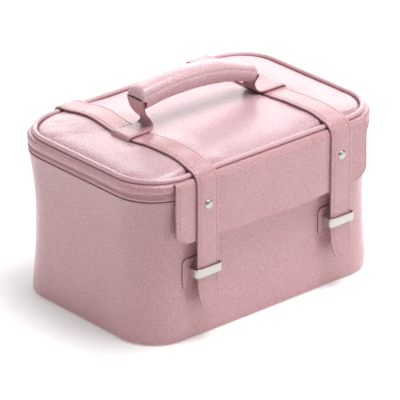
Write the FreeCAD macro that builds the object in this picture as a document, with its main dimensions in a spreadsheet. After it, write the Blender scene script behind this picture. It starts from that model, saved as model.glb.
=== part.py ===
import FreeCAD, Part
import math
import os
import Sketcher

# Makeup train case: a soft-sided box of grained leatherette with a zipped lid,
# a front flap, two straps with nickel keepers and a padded top handle.
# Millimetres. X runs along the front, -Y is the front, +Z is up.
# The origin is the centre of the base, on the surface that the case stands on.

V = FreeCAD.Vector
os.makedirs("parts", exist_ok=True)
doc = FreeCAD.newDocument("makeup_train_case")

# ---------------------------------------------------------------- dimensions
DIMENSIONS = [
    # body walls: half length and half depth at foot, waist and top
    ("half_len_foot", 153.6), ("half_dep_foot", 102.6),
    ("half_len_waist", 149.8), ("half_dep_waist", 98.8),
    ("half_len_top", 153.5), ("half_dep_top", 102.5),
    ("corner_rad", 44.0),
    ("foot_level", 1.6), ("waist_level", 80.0), ("top_level", 152.0),
    ("cover_thick", 1.1), ("board_thick", 2.4), ("lining_thick", 1.0),
    ("layer_gap", 0.25),
    ("board_top", 147.5), ("lining_top", 149.0),
    ("base_panel_thick", 1.4), ("base_board_thick", 2.4), ("base_lining_thick", 0.9),
    # zip
    ("zip_half_len", 151.7), ("zip_half_dep", 100.7), ("zip_rad", 42.2),
    ("tape_thick", 0.8), ("tape_low", 148.0), ("tape_low_top", 154.5),
    ("teeth_low", 154.6), ("teeth_tall", 0.9), ("teeth_up", 156.5),
    ("tape_up", 157.5), ("tape_up_top", 165.8), ("teeth_out", 1.0),
    ("zip_back_half", 97.0),
    # soft hinge at the back
    ("hinge_half_len", 95.0), ("hinge_back", 102.75), ("hinge_thick", 0.9),
    ("hinge_low", 150.5), ("hinge_top", 159.2),
    # lid
    ("rim_half_len", 155.8), ("rim_half_dep", 104.8), ("rim_rad", 46.3),
    ("rim_thick", 3.4), ("rim_low", 159.6), ("rim_top", 168.0),
    ("rim_edge_rad", 1.4),
    ("pipe_half_len", 150.0), ("pipe_half_dep", 99.0), ("pipe_path_rad", 44.0),
    ("pipe_level", 171.0), ("pipe_rad", 2.6),
    ("lid_board_low", 166.1), ("lid_board_thick", 2.0), ("lid_board_inset", 0.8),
    ("panel_inset", 0.3), ("panel_low", 168.6), ("panel_edge", 171.4), ("panel_top", 175.6),
    ("lid_lining_low", 165.0), ("lid_lining_thick", 0.8),
    # mirror in the lid
    ("mirror_half_len", 95.0), ("mirror_half_dep", 61.0), ("mirror_thick", 1.8),
    ("mirror_low", 162.8), ("mirror_rad", 6.0),
    ("frame_border", 5.0), ("frame_low", 161.8), ("frame_tall", 3.0), ("frame_lip", 0.9),
    ("frame_lip_in", 5.0), ("frame_gap", 0.2),
    # straps
    ("strap_pos", 86.5), ("strap_wide", 26.4), ("strap_thick", 2.6),
    ("strap_level", 175.3), ("strap_front_in", 108.4), ("strap_end_front", 100.0),
    ("strap_split", 163.0), ("strap_foot", 106.3),
    ("tail_top", 105.8), ("tail_taper", 56.0), ("tail_tip", 30.0),
    # front flap
    ("flap_half_len", 123.5), ("flap_in", 106.0), ("flap_thick", 2.2),
    ("flap_low", 106.0), ("flap_top", 163.0), ("flap_corner", 13.0),
    ("backing_in", 105.3), ("backing_thick", 0.6), ("backing_low", 109.0), ("backing_top", 158.0),
    ("flap_hinge_in", 105.2), ("flap_hinge_thick", 1.6), ("flap_hinge_top", 167.6),
    # rivets
    ("rivet_level", 141.0), ("rivet_shank", 1.45), ("rivet_hole", 1.55),
    ("rivet_head", 4.25), ("rivet_foot", 3.9), ("back_rivet_level", 112.0),
    # keepers and their patches
    ("keeper_pos", 86.9), ("keeper_half", 16.4), ("keeper_metal", 1.5), ("keeper_front", 113.5),
    ("keeper_back", 99.2), ("keeper_foot_thick", 0.7), ("keeper_foot_in", 9.0),
    ("keeper_low", 67.5), ("keeper_tall", 9.0), ("keeper_bend", 2.4),
    ("patch_pos", 88.8), ("patch_half", 22.5), ("patch_low", 54.5), ("patch_tall", 31.5),
    ("patch_in", 100.1), ("patch_thick", 1.4), ("patch_rad", 6.0), ("slot_gap", 0.2),
    # handle roll: an arc in the XZ plane, tilted as it hangs
    ("arc_centre_x", -27.8), ("arc_centre_z", -78.7), ("arc_rad", 295.8),
    ("arc_sweep", 28.46), ("arc_tilt", 4.07),
    ("roll_half_wide", 13.4), ("roll_half_tall", 11.9), ("roll_rad", 11.5), ("roll_skin", 1.4), ("roll_gap", 0.2),
    # handle tabs
    ("tab_half", 13.0), ("tab_thick", 2.2), ("tab_level_left", 180.8), ("tab_wrap_left", 177.6),
    ("tab_level_right", 180.2), ("tab_wrap_right", 176.6),
    # zip sliders and pulls, on the +X end
    ("slider_long", 10.0), ("slider_start", 1.0), ("slider_out", 153.2), ("slider_plate", 1.6),
    ("slider_low", 152.3), ("slider_top", 159.2), ("slider_in", 149.2), ("slider_in_thick", 1.2),
    ("slider_in_low", 151.2), ("slider_in_top", 159.0),
    ("post_low", 155.7), ("post_tall", 0.6), ("post_long", 2.4),
    ("bail_x", 156.6), ("bail_z", 156.2), ("bail_rad", 0.7), ("bail_leg", 1.2), ("bail_gap", 4.4),
    ("bail_leg_low", 155.2), ("bail_leg_tall", 2.0), ("bail_reach", 2.6),
    ("pull_bore", 0.76), ("pull_eye", 1.5), ("pull_wide", 4.0), ("pull_thick", 1.4),
    ("pull_low", 128.0), ("pull_flare", 7.0),
]

sheet = doc.addObject("Spreadsheet::Sheet", "dims")
for row, (alias, number) in enumerate(DIMENSIONS, start=1):
    sheet.set("A%d" % row, alias)
    sheet.set("B%d" % row, repr(number))
    sheet.setAlias("B%d" % row, alias)
doc.recompute()


class Dim:
    """A length as the expression that binds it to the sheet, with its present value."""

    def __init__(self, expr, val):
        self.expr, self.val = expr, float(val)

    def __add__(self, other):
        o = dim(other)
        return Dim("(%s + %s)" % (self.expr, o.expr), self.val + o.val)

    def __radd__(self, other):
        return dim(other) + self

    def __sub__(self, other):
        o = dim(other)
        return Dim("(%s - %s)" % (self.expr, o.expr), self.val - o.val)

    def __rsub__(self, other):
        return dim(other) - self

    def __mul__(self, factor):
        return Dim("(%s * %.9f)" % (self.expr, factor), self.val * factor)

    __rmul__ = __mul__

    def __neg__(self):
        return self * -1.0


def dim(x):
    return x if isinstance(x, Dim) else Dim("%.9f" % x, x)


def d(alias):
    return Dim("dims." + alias, getattr(sheet, alias))


# ------------------------------------------------------------ sketch helpers
def new_body(label):
    body = doc.addObject("PartDesign::Body", label)
    body.Label = label
    return body


def base_plane(body, role):
    for feature in body.Origin.OriginFeatures:
        if feature.Role == role:
            return feature
    raise RuntimeError("no " + role)


def new_sketch(body, name, role, off=0.0, up=None):
    sk = body.newObject("Sketcher::SketchObject", body.Label + "_" + name)
    sk.AttachmentSupport = [(base_plane(body, role), "")]
    sk.MapMode = "FlatFace"
    off = dim(off)
    up = dim(0.0) if up is None else up
    sk.AttachmentOffset = FreeCAD.Placement(V(0, up.val, off.val), FreeCAD.Rotation())
    sk.setExpression("AttachmentOffset.Base.z", off.expr)
    sk.setExpression("AttachmentOffset.Base.y", up.expr)
    return sk


def bind(sk, constraint, size):
    k = sk.addConstraint(constraint)
    sk.setExpression("Constraints[%d]" % k, size.expr)


def fix_point(sk, geo, pos, x, y):
    if abs(x.val) < 1e-9:
        sk.addConstraint(Sketcher.Constraint("PointOnObject", geo, pos, -2))
    else:
        bind(sk, Sketcher.Constraint("DistanceX", geo, pos, x.val), x)
    if abs(y.val) < 1e-9:
        sk.addConstraint(Sketcher.Constraint("PointOnObject", geo, pos, -1))
    else:
        bind(sk, Sketcher.Constraint("DistanceY", geo, pos, y.val), y)


def polygon(sk, points):
    points = [(dim(x), dim(y)) for x, y in points]
    first, n = sk.GeometryCount, len(points)
    for i in range(n):
        (x0, y0), (x1, y1) = points[i], points[(i + 1) % n]
        sk.addGeometry(Part.LineSegment(V(x0.val, y0.val, 0), V(x1.val, y1.val, 0)), False)
    for i in range(n):
        sk.addConstraint(Sketcher.Constraint("Coincident", first + i, 2, first + (i + 1) % n, 1))
    for i, (x, y) in enumerate(points):
        fix_point(sk, first + i, 1, x, y)


def rectangle(sk, x0, x1, y0, y1):
    polygon(sk, [(x0, y0), (x1, y0), (x1, y1), (x0, y1)])


def circle(sk, x, y, r):
    x, y, r = dim(x), dim(y), dim(r)
    g = sk.addGeometry(Part.Circle(V(x.val, y.val, 0), V(0, 0, 1), r.val), False)
    fix_point(sk, g, 3, x, y)
    bind(sk, Sketcher.Constraint("Radius", g, r.val), r)


def rounded(sk, half_x, half_y, rad):
    """A rounded rectangle centred on the sketch's origin."""
    a, b, r = half_x.val, half_y.val, rad.val
    g = sk.GeometryCount
    corners = [(a - r, -b + r, -90), (a - r, b - r, 0), (-a + r, b - r, 90), (-a + r, -b + r, 180)]
    lines = [((-a + r, -b), (a - r, -b)), ((a, -b + r), (a, b - r)), ((a - r, b), (-a + r, b)), ((-a, b - r), (-a, -b + r))]
    for (p, q), (cx, cy, start) in zip(lines, corners):
        sk.addGeometry(Part.LineSegment(V(p[0], p[1], 0), V(q[0], q[1], 0)), False)
        ring = Part.Circle(V(cx, cy, 0), V(0, 0, 1), r)
        sk.addGeometry(Part.ArcOfCircle(ring, math.radians(start), math.radians(start + 90)), False)
    for k in range(8):
        sk.addConstraint(Sketcher.Constraint("Tangent", g + k, 2, g + (k + 1) % 8, 1))
    for k, way in ((0, "Horizontal"), (2, "Vertical"), (4, "Horizontal"), (6, "Vertical")):
        sk.addConstraint(Sketcher.Constraint(way, g + k))
    for k in (3, 5, 7):
        sk.addConstraint(Sketcher.Constraint("Equal", g + 1, g + k))
    sk.addConstraint(Sketcher.Constraint("Symmetric", g, 1, g + 4, 1, -1, 1))
    bind(sk, Sketcher.Constraint("DistanceX", g + 6, 1, g + 2, 1, 2 * a), half_x * 2)
    bind(sk, Sketcher.Constraint("DistanceY", g, 1, g + 4, 1, 2 * b), half_y * 2)
    bind(sk, Sketcher.Constraint("Radius", g + 1, r), rad)


def strip(middle, thick):
    """Outline of a strip of even thickness along a middle line, with mitred bends."""
    mids = [(dim(x), dim(y)) for x, y in middle]
    pts = [(x.val, y.val) for x, y in mids]
    n = len(pts)
    way = []
    for i in range(n - 1):
        dx, dy = pts[i + 1][0] - pts[i][0], pts[i + 1][1] - pts[i][1]
        h = math.hypot(dx, dy)
        way.append((dx / h, dy / h))
    left, right = [], []
    for i in range(n):
        a = way[max(i - 1, 0)]
        b = way[min(i, n - 2)]
        nx, ny = -(a[1] + b[1]), a[0] + b[0]
        h = math.hypot(nx, ny)
        nx, ny = nx / h, ny / h
        grow = 0.5 / (nx * -a[1] + ny * a[0])
        x, y = mids[i]
        left.append((x + thick * (nx * grow), y + thick * (ny * grow)))
        right.append((x - thick * (nx * grow), y - thick * (ny * grow)))
    return left + right[::-1]


def pad(body, sk, length, reverse=False, name="pad"):
    f = body.newObject("PartDesign::Pad", body.Label + "_" + name)
    f.Profile = (sk, [""])
    f.Length = length.val
    f.setExpression("Length", length.expr)
    f.Reversed = reverse
    return f


def cut(body, sk, reverse=False, length=None, name="cut"):
    """A pocket: through everything, or to a depth. The volume must fall."""
    doc.recompute()
    before = body.Shape.Volume
    f = body.newObject("PartDesign::Pocket", body.Label + "_" + name)
    f.Profile = (sk, [""])
    if length is None:
        f.Type = "ThroughAll"
    else:
        f.Type = "Length"
        f.Length = length.val
        f.setExpression("Length", length.expr)
    f.Reversed = reverse
    doc.recompute()
    if not body.Shape.Volume < before - 1e-6:
        raise RuntimeError(f.Name + " cut nothing")
    return f


def turn(body, sk, axis, angle=360.0, symmetric=False):
    f = body.newObject("PartDesign::Revolution", body.Label + "_turn")
    f.Profile = (sk, [""])
    f.ReferenceAxis = axis
    angle = dim(angle)
    f.Angle = angle.val
    f.setExpression("Angle", angle.expr)
    if symmetric:
        f.Midplane = True
    return f


def round_edges(body, feature, test, rad, name="round"):
    doc.recompute()
    names = ["Edge%d" % (i + 1) for i, e in enumerate(feature.Shape.Edges) if test(e)]
    if not names:
        raise RuntimeError("no edge to round on " + body.Label)
    f = body.newObject("PartDesign::Fillet", body.Label + "_" + name)
    f.Base = (feature, names)
    f.Radius = rad.val
    f.setExpression("Radius", rad.expr)
    return f


def along(e, axis):
    if len(e.Vertexes) != 2 or not isinstance(e.Curve, (Part.Line, Part.LineSegment)):
        return False
    p, q = e.Vertexes[0].Point, e.Vertexes[1].Point
    w = q - p
    return abs(abs(w.dot(axis)) - w.Length) < 1e-6


def ring_body(label, half_x, half_y, rad, thick, low, high):
    """A band of even thickness round a rounded rectangle."""
    body = new_body(label)
    outer = new_sketch(body, "outline", "XY_Plane", low)
    rounded(outer, half_x, half_y, rad)
    rounded(outer, half_x - thick, half_y - thick, rad - thick)
    pad(body, outer, high - low)
    return body


def plate_body(label, half_x, half_y, rad, low, high):
    body = new_body(label)
    sk = new_sketch(body, "outline", "XY_Plane", low)
    rounded(sk, half_x, half_y, rad)
    pad(body, sk, high - low)
    return body


X, Y, Z = V(1, 0, 0), V(0, 1, 0), V(0, 0, 1)
pieces = []


def keep(body):
    pieces.append(body)
    return body


# ------------------------------------------------------------------ body walls
def wall(label, inset, thick, top=None):
    """A wall layer, drawn in at half height, at a given inset from the outside."""
    body = new_body(label)
    levels = [
        ("foot", d("half_len_foot"), d("half_dep_foot"), d("foot_level")),
        ("waist", d("half_len_waist"), d("half_dep_waist"), d("waist_level")),
        ("top", d("half_len_top"), d("half_dep_top"), d("top_level")),
    ]
    for kind, off, name in (("AdditiveLoft", inset, "outside"), ("SubtractiveLoft", inset + thick, "inside")):
        sections = []
        for word, half_x, half_y, level in levels:
            sk = new_sketch(body, name + "_" + word, "XY_Plane", level)
            rounded(sk, half_x - off, half_y - off, d("corner_rad") - off)
            sections.append(sk)
        f = body.newObject("PartDesign::" + kind, label + "_" + name)
        f.Profile = (sections[0], [""])
        f.Sections = [(s, [""]) for s in sections[1:]]
        f.Ruled = False
        doc.recompute()
    if top is not None:
        sk = new_sketch(body, "trim", "XY_Plane", top)
        rectangle(sk, -d("half_len_top") - 10, d("half_len_top") + 10, -d("half_dep_top") - 10, d("half_dep_top") + 10)
        cut(body, sk, reverse=True, name="trim")
    return body


def back_holes(body):
    """Holes for the two rivets at the back, from the middle plane out to +Y."""
    sk = new_sketch(body, "rivet_holes", "XZ_Plane")
    for side in (-1.0, 1.0):
        circle(sk, d("strap_pos") * side, d("back_rivet_level"), d("rivet_hole"))
    cut(body, sk, name="rivet_holes")


gap = d("layer_gap")
body_cover = keep(wall("body_cover", dim(0.0), d("cover_thick")))
back_holes(body_cover)
board_inset = d("cover_thick") + gap
body_board = keep(wall("body_board", board_inset, d("board_thick"), d("board_top")))
back_holes(body_board)
lining_inset = board_inset + d("board_thick") + gap
body_lining = keep(wall("body_lining", lining_inset, d("lining_thick"), d("lining_top")))
base_rad = d("corner_rad") - board_inset - d("board_thick") - gap * 2

base_panel = keep(plate_body("base_panel", d("half_len_foot") - 0.4, d("half_dep_foot") - 0.4, d("corner_rad") - 0.4, dim(0.0), d("base_panel_thick")))
inner_x = d("half_len_waist") - lining_inset - d("lining_thick") - gap
inner_y = d("half_dep_waist") - lining_inset - d("lining_thick") - gap
base_board = keep(plate_body("base_board", inner_x, inner_y, base_rad - d("lining_thick"), d("base_panel_thick") + 0.2, d("base_panel_thick") + d("base_board_thick") + 0.2))
lining_floor = d("base_panel_thick") + d("base_board_thick") + 0.4
base_lining = keep(plate_body("base_lining", inner_x, inner_y, base_rad - d("lining_thick"), lining_floor, lining_floor + d("base_lining_thick")))

# ------------------------------------------------------------------------- zip
def open_at_back(body):
    sk = new_sketch(body, "back", "XZ_Plane")
    rectangle(sk, -d("zip_back_half"), d("zip_back_half"), d("tape_low") - 10, d("tape_up_top") + 10)
    cut(body, sk, name="back")
    return body


lower_tape = keep(open_at_back(ring_body("lower_zipper_tape", d("zip_half_len"), d("zip_half_dep"), d("zip_rad"), d("tape_thick"), d("tape_low"), d("tape_low_top"))))
upper_tape = keep(open_at_back(ring_body("upper_zipper_tape", d("zip_half_len"), d("zip_half_dep"), d("zip_rad"), d("tape_thick"), d("tape_up"), d("tape_up_top"))))
lower_teeth = keep(open_at_back(ring_body("lower_zipper_teeth", d("zip_half_len") + d("teeth_out"), d("zip_half_dep") + d("teeth_out"), d("zip_rad") + d("teeth_out"), d("teeth_out") * 1.9, d("teeth_low"), d("teeth_low") + d("teeth_tall"))))
upper_teeth = keep(open_at_back(ring_body("upper_zipper_teeth", d("zip_half_len") + d("teeth_out"), d("zip_half_dep") + d("teeth_out"), d("zip_rad") + d("teeth_out"), d("teeth_out") * 1.9, d("teeth_up"), d("teeth_up") + d("teeth_tall"))))

# soft hinge between the body's back wall and the lid's back band
hinge = keep(new_body("hinge_strip"))
sk = new_sketch(hinge, "outline", "XY_Plane", d("hinge_low"))
rectangle(sk, -d("hinge_half_len"), d("hinge_half_len"), d("hinge_back"), d("hinge_back") + d("hinge_thick"))
pad(hinge, sk, d("hinge_top") - d("hinge_low"))

# ------------------------------------------------------------------------- lid
rim = keep(ring_body("lid_rim", d("rim_half_len"), d("rim_half_dep"), d("rim_rad"), d("rim_thick"), d("rim_low"), d("rim_top")))
round_edges(
    rim, rim.Tip,
    lambda e: e.BoundBox.ZLength < 1e-6 and e.CenterOfMass.x ** 2 >= 0 and any(
        abs(v.X) > sheet.rim_half_len - 0.5 or abs(v.Y) > sheet.rim_half_dep - 0.5 for v in e.Vertexes),
    d("rim_edge_rad"))

piping = keep(new_body("lid_piping"))
path = new_sketch(piping, "path", "XY_Plane", d("pipe_level"))
rounded(path, d("pipe_half_len"), d("pipe_half_dep"), d("pipe_path_rad"))
section = new_sketch(piping, "section", "YZ_Plane")
circle(section, -d("pipe_half_dep"), d("pipe_level"), d("pipe_rad"))
pipe = piping.newObject("PartDesign::AdditivePipe", "lid_piping_pipe")
pipe.Profile = (section, [""])
pipe.Spine = (path, [])

lid_board = keep(plate_body("lid_board", d("rim_half_len") - d("rim_thick") - d("lid_board_inset"), d("rim_half_dep") - d("rim_thick") - d("lid_board_inset"), d("rim_rad") - d("rim_thick") - d("lid_board_inset"), d("lid_board_low"), d("lid_board_low") + d("lid_board_thick")))

panel_in = d("pipe_rad") + d("panel_inset")
panel = keep(plate_body("lid_top_panel", d("pipe_half_len") - panel_in, d("pipe_half_dep") - panel_in, d("pipe_path_rad") - panel_in, d("panel_low"), d("panel_edge")))
# the padding crowns the panel: steep near its border, nearly flat in the middle
sections = []
for inward, share in ((0.0, 0.0), (4.0, 0.45), (14.0, 0.81), (40.0, 1.0)):
    sk = new_sketch(panel, "crown_%d" % len(sections), "XY_Plane", d("panel_edge") + (d("panel_top") - d("panel_edge")) * share)
    rounded(sk, d("pipe_half_len") - panel_in - inward, d("pipe_half_dep") - panel_in - inward, d("pipe_path_rad") - panel_in - inward)
    sections.append(sk)
crown = panel.newObject("PartDesign::AdditiveLoft", "lid_top_panel_crown")
crown.Profile = (sections[0], [""])
crown.Sections = [(s, [""]) for s in sections[1:]]
crown.Ruled = True

tape_in = d("tape_thick") + 0.5
lid_lining = keep(plate_body("lid_lining", d("zip_half_len") - tape_in, d("zip_half_dep") - tape_in, d("zip_rad") - tape_in, d("lid_lining_low"), d("lid_lining_low") + d("lid_lining_thick")))

mirror = keep(plate_body("mirror", d("mirror_half_len"), d("mirror_half_dep"), d("mirror_rad"), d("mirror_low"), d("mirror_low") + d("mirror_thick")))
frame = keep(plate_body("mirror_frame", d("mirror_half_len") + d("frame_border"), d("mirror_half_dep") + d("frame_border"), d("mirror_rad") + d("frame_border"), d("frame_low"), d("frame_low") + d("frame_tall")))
sk = new_sketch(frame, "seat", "XY_Plane", d("frame_low") + d("frame_lip"))
rounded(sk, d("mirror_half_len") + d("frame_gap"), d("mirror_half_dep") + d("frame_gap"), d("mirror_rad") + d("frame_gap"))
cut(frame, sk, reverse=True, name="seat")
sk = new_sketch(frame, "window", "XY_Plane", d("frame_low") - 1.0)
rounded(sk, d("mirror_half_len") - d("frame_lip_in"), d("mirror_half_dep") - d("frame_lip_in"), d("mirror_rad") - 2.0)
cut(frame, sk, reverse=True, name="window")

# ---------------------------------------------------------------------- straps
half_t = d("strap_thick") * 0.5
strap_y = d("strap_front_in") + half_t


def side_strip(label, side, middle, thick):
    """A strip seen from the side, as wide as a strap."""
    body = new_body(label)
    sk = new_sketch(body, "side", "YZ_Plane", d("strap_pos") * side - d("strap_wide") * 0.5)
    polygon(sk, strip(middle, thick))
    pad(body, sk, d("strap_wide"))
    return body


def front_plate(label, points, inner, thick, holes=()):
    """A flat piece on the front, with its inner face at y = -inner."""
    body = new_body(label)
    sk = new_sketch(body, "front", "XZ_Plane", inner)
    polygon(sk, points)
    pad(body, sk, thick)
    if holes:
        hs = new_sketch(body, "holes", "XZ_Plane", inner - 5.0)
        for x, z, r in holes:
            circle(hs, x, z, r)
        cut(body, hs, reverse=True, name="holes")
    return body


# the straps stand off the lid between its piping and the handle tabs: (share of the half depth, rise)
ARCH = {
    "left": [(-0.99, 0.0), (-0.95, 1.2), (-0.89, 3.2), (-0.81, 5.2), (-0.71, 6.2), (-0.55, 6.3), (-0.36, 5.7), (-0.26, 4.4), (-0.15, 2.6),
             (0.15, 2.6), (0.26, 3.7), (0.36, 5.1), (0.46, 6.1), (0.56, 6.0), (0.65, 5.0), (0.75, 3.4), (0.85, 1.2), (0.92, 0.2)],
    "right": [(-0.99, 0.2), (-0.91, 2.2), (-0.83, 3.8), (-0.75, 4.4), (-0.61, 4.1), (-0.44, 3.9), (-0.34, 3.1), (-0.24, 2.2), (-0.15, 1.9),
              (0.15, 1.9), (0.26, 2.4), (0.44, 3.2), (0.63, 3.0), (0.79, 1.6), (0.91, 0.2)],
}


def hole_at(side):
    return (d("strap_pos") * side, d("rivet_level"), d("rivet_hole"))


for word, side in (("left", -1.0), ("right", 1.0)):
    lo = d("strap_pos") * side - d("strap_wide") * 0.5
    hi = d("strap_pos") * side + d("strap_wide") * 0.5
    mid = d("strap_pos") * side
    level = d("strap_level")
    # over the lid and down its back band
    keep(side_strip(word + "_strap_top", side, [
        (-d("strap_end_front"), level), *[(d("pipe_half_dep") * share, level + rise) for share, rise in ARCH[word]], (d("pipe_half_dep") - 0.4, level),
        (d("pipe_half_dep") + 4.4, level - 1.3), (d("rim_half_dep") + 1.3, level - 5.0),
        (d("rim_half_dep") + 1.8, level - 8.4), (d("rim_half_dep") + 1.8, d("rim_low") + 0.4)], d("strap_thick")))
    # below the hinge, down the case's back to its rivet
    back = keep(side_strip(word + "_strap_back", side, [
        (d("hinge_back") + 2.9, d("top_level") + 2.9), (d("half_dep_waist") + 3.75, d("back_rivet_level") + 6.0),
        (d("half_dep_waist") + 2.5, d("back_rivet_level") - 16.0)], d("strap_thick")))
    sk = new_sketch(back, "hole", "XZ_Plane")
    circle(sk, mid, d("back_rivet_level"), d("rivet_hole"))
    cut(back, sk, name="hole")
    # over the front piping
    keep(side_strip(word + "_strap_bend", side, [
        (-d("strap_end_front") - 0.3, level), (-d("strap_end_front") - 1.3, level), (-d("strap_end_front") - 5.4, level - 1.5),
        (-d("strap_end_front") - 8.6, level - 5.1), (-strap_y, level - 9.0), (-strap_y, d("strap_split") + 0.2)], d("strap_thick")))
    # down the flap
    keep(front_plate(word + "_strap_front", [(lo, d("strap_foot")), (hi, d("strap_foot")), (hi, d("strap_split")), (lo, d("strap_split"))],
                     d("strap_front_in"), d("strap_thick"), [hole_at(side)]))
    # free end through the keeper, with a rounded tongue
    t = d("tail_tip")
    half = d("strap_wide") * 0.5
    keep(front_plate(word + "_strap_tail", [
        (mid - half, d("tail_top")), (mid - half, d("tail_taper")), (mid - half * 0.93, t + 14.5), (mid - half * 0.8, t + 7.0),
        (mid - half * 0.62, t + 2.0), (mid - half * 0.46, t), (mid + half * 0.46, t), (mid + half * 0.62, t + 2.0),
        (mid + half * 0.8, t + 7.0), (mid + half * 0.93, t + 14.5), (mid + half, d("tail_taper")), (mid + half, d("tail_top"))],
        d("strap_front_in"), d("strap_thick")))

    # rivet through strap, flap and backing, turned about its own axis
    face = d("strap_front_in") + d("strap_thick") + 0.1
    foot = d("backing_in") - 0.1
    rivet = keep(new_body(word + "_rivet"))
    sk = new_sketch(rivet, "half", "YZ_Plane", mid, d("rivet_level"))
    polygon(sk, [(-foot + 1.0, 0.0), (-foot + 1.0, d("rivet_foot") * 0.8), (-foot + 0.6, d("rivet_foot")), (-foot, d("rivet_foot")), (-foot, d("rivet_shank")),
                 (-face, d("rivet_shank")), (-face, d("rivet_head")), (-face - 0.6, d("rivet_head")), (-face - 1.3, d("rivet_head") * 0.85),
                 (-face - 1.85, d("rivet_head") * 0.58), (-face - 2.15, d("rivet_head") * 0.28), (-face - 2.2, 0.0)])
    turn(rivet, sk, (sk, ["H_Axis"]))

    # rivet at the back, through strap, cover and board
    out = d("half_dep_waist") + 5.2
    inn = d("half_dep_waist") - 2.5
    rivet = keep(new_body(word + "_back_rivet"))
    sk = new_sketch(rivet, "half", "YZ_Plane", mid, d("back_rivet_level"))
    polygon(sk, [(inn - 0.35, 0.0), (inn - 0.35, d("rivet_shank")), (out, d("rivet_shank")), (out, d("rivet_head")), (out + 0.6, d("rivet_head")),
                 (out + 1.3, d("rivet_head") * 0.85), (out + 1.85, d("rivet_head") * 0.58), (out + 2.15, d("rivet_head") * 0.28), (out + 2.2, 0.0)])
    turn(rivet, sk, (sk, ["H_Axis"]))

    # keeper: a bent flat band with its feet folded in behind the patch
    c = d("keeper_pos") * side
    w, m, fr, bk = d("keeper_half"), d("keeper_metal"), d("keeper_front"), d("keeper_back")
    keeper = keep(new_body(word + "_keeper"))
    sk = new_sketch(keeper, "band", "XY_Plane", d("keeper_low"))
    ft, fi = d("keeper_foot_thick"), d("keeper_foot_in")
    polygon(sk, [(c - w, -bk), (c - w, -fr), (c + w, -fr), (c + w, -bk), (c + fi, -bk), (c + fi, -bk - ft), (c + w - m, -bk - ft),
                 (c + w - m, -fr + m), (c - w + m, -fr + m), (c - w + m, -bk - ft), (c - fi, -bk - ft), (c - fi, -bk)])
    f = pad(keeper, sk, d("keeper_tall"))
    front_y = -sheet.keeper_front
    f = round_edges(keeper, f, lambda e: along(e, Z) and abs(e.CenterOfMass.y - front_y) < 1e-6, d("keeper_bend"))
    round_edges(keeper, f, lambda e: along(e, Z) and abs(e.CenterOfMass.y - front_y - sheet.keeper_metal) < 1e-6, d("keeper_bend") - d("keeper_metal"), name="inner_round")

    # patch behind the keeper, slotted for its two legs
    pc, ph = d("patch_pos") * side, d("patch_half")
    patch = keep(front_plate(word + "_keeper_patch", [(pc - ph, d("patch_low")), (pc + ph, d("patch_low")), (pc + ph, d("patch_low") + d("patch_tall")), (pc - ph, d("patch_low") + d("patch_tall"))],
                             d("patch_in"), d("patch_thick")))
    f = round_edges(patch, patch.Tip, lambda e: along(e, Y), d("patch_rad"))
    sk = new_sketch(patch, "slots", "XZ_Plane", d("patch_in") - 2.0)
    g = d("slot_gap")
    for leg in (-1.0, 1.0):
        x0, x1 = c + (w - m - g) * leg, c + (w + g) * leg
        rectangle(sk, x0 if leg > 0 else x1, x1 if leg > 0 else x0, d("keeper_low") - g, d("keeper_low") + d("keeper_tall") + g)
    cut(patch, sk, reverse=True, name="slots")

# ------------------------------------------------------------------------ flap
fl = d("flap_half_len")
flap = keep(front_plate("front_flap", [(-fl, d("flap_low")), (fl, d("flap_low")), (fl, d("flap_top")), (-fl, d("flap_top"))],
                        d("flap_in"), d("flap_thick"), [hole_at(-1.0), hole_at(1.0)]))
round_edges(flap, flap.Tip, lambda e: along(e, Y) and e.CenterOfMass.z < sheet.flap_low + 1, d("flap_corner"))
bl = d("flap_half_len") - 2.5
backing = keep(front_plate("flap_backing", [(-bl, d("backing_low")), (bl, d("backing_low")), (bl, d("backing_top")), (-bl, d("backing_top"))],
                           d("backing_in"), d("backing_thick"), [hole_at(-1.0), hole_at(1.0)]))
round_edges(backing, backing.Tip, lambda e: along(e, Y) and e.CenterOfMass.z < sheet.backing_low + 1, d("flap_corner") - 2.0)
keep(front_plate("flap_hinge_strip", [(-fl, d("flap_top") + 0.2), (fl, d("flap_top") + 0.2), (fl, d("flap_hinge_top")), (-fl, d("flap_hinge_top"))],
                 d("flap_hinge_in"), d("flap_hinge_thick")))

# ---------------------------------------------------------------------- handle
def roll(label, half_wide, half_tall, rad, hollow=None):
    body = new_body(label)
    sk = new_sketch(body, "section", "YZ_Plane", 0.0, d("arc_rad"))
    rounded(sk, half_wide, half_tall, rad)
    if hollow is not None:
        rounded(sk, half_wide - hollow, half_tall - hollow, rad - hollow)
    turn(body, sk, (base_plane(body, "Y_Axis"), [""]), d("arc_sweep"), symmetric=True)
    body.Placement = FreeCAD.Placement(V(sheet.arc_centre_x, 0, sheet.arc_centre_z), FreeCAD.Rotation(Y, sheet.arc_tilt))
    body.setExpression("Placement.Base.x", "dims.arc_centre_x")
    body.setExpression("Placement.Base.z", "dims.arc_centre_z")
    body.setExpression("Placement.Rotation.Angle", "dims.arc_tilt")
    return body


keep(roll("handle_cover", d("roll_half_wide"), d("roll_half_tall"), d("roll_rad"), d("roll_skin")))
core_in = d("roll_skin") + d("roll_gap")
keep(roll("handle_core", d("roll_half_wide") - core_in, d("roll_half_tall") - core_in, d("roll_rad") - core_in))


def tab(label, middle):
    body = new_body(label)
    sk = new_sketch(body, "side", "XZ_Plane", -d("tab_half"))
    polygon(sk, strip(middle, d("tab_thick")))
    pad(body, sk, d("tab_half") * 2)
    return keep(body)


outer_edge = d("strap_pos") + d("strap_wide") * 0.5 + 1.6
inner_edge = d("strap_pos") - d("strap_wide") * 0.5
tl, tr = d("tab_level_left"), d("tab_level_right")
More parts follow.
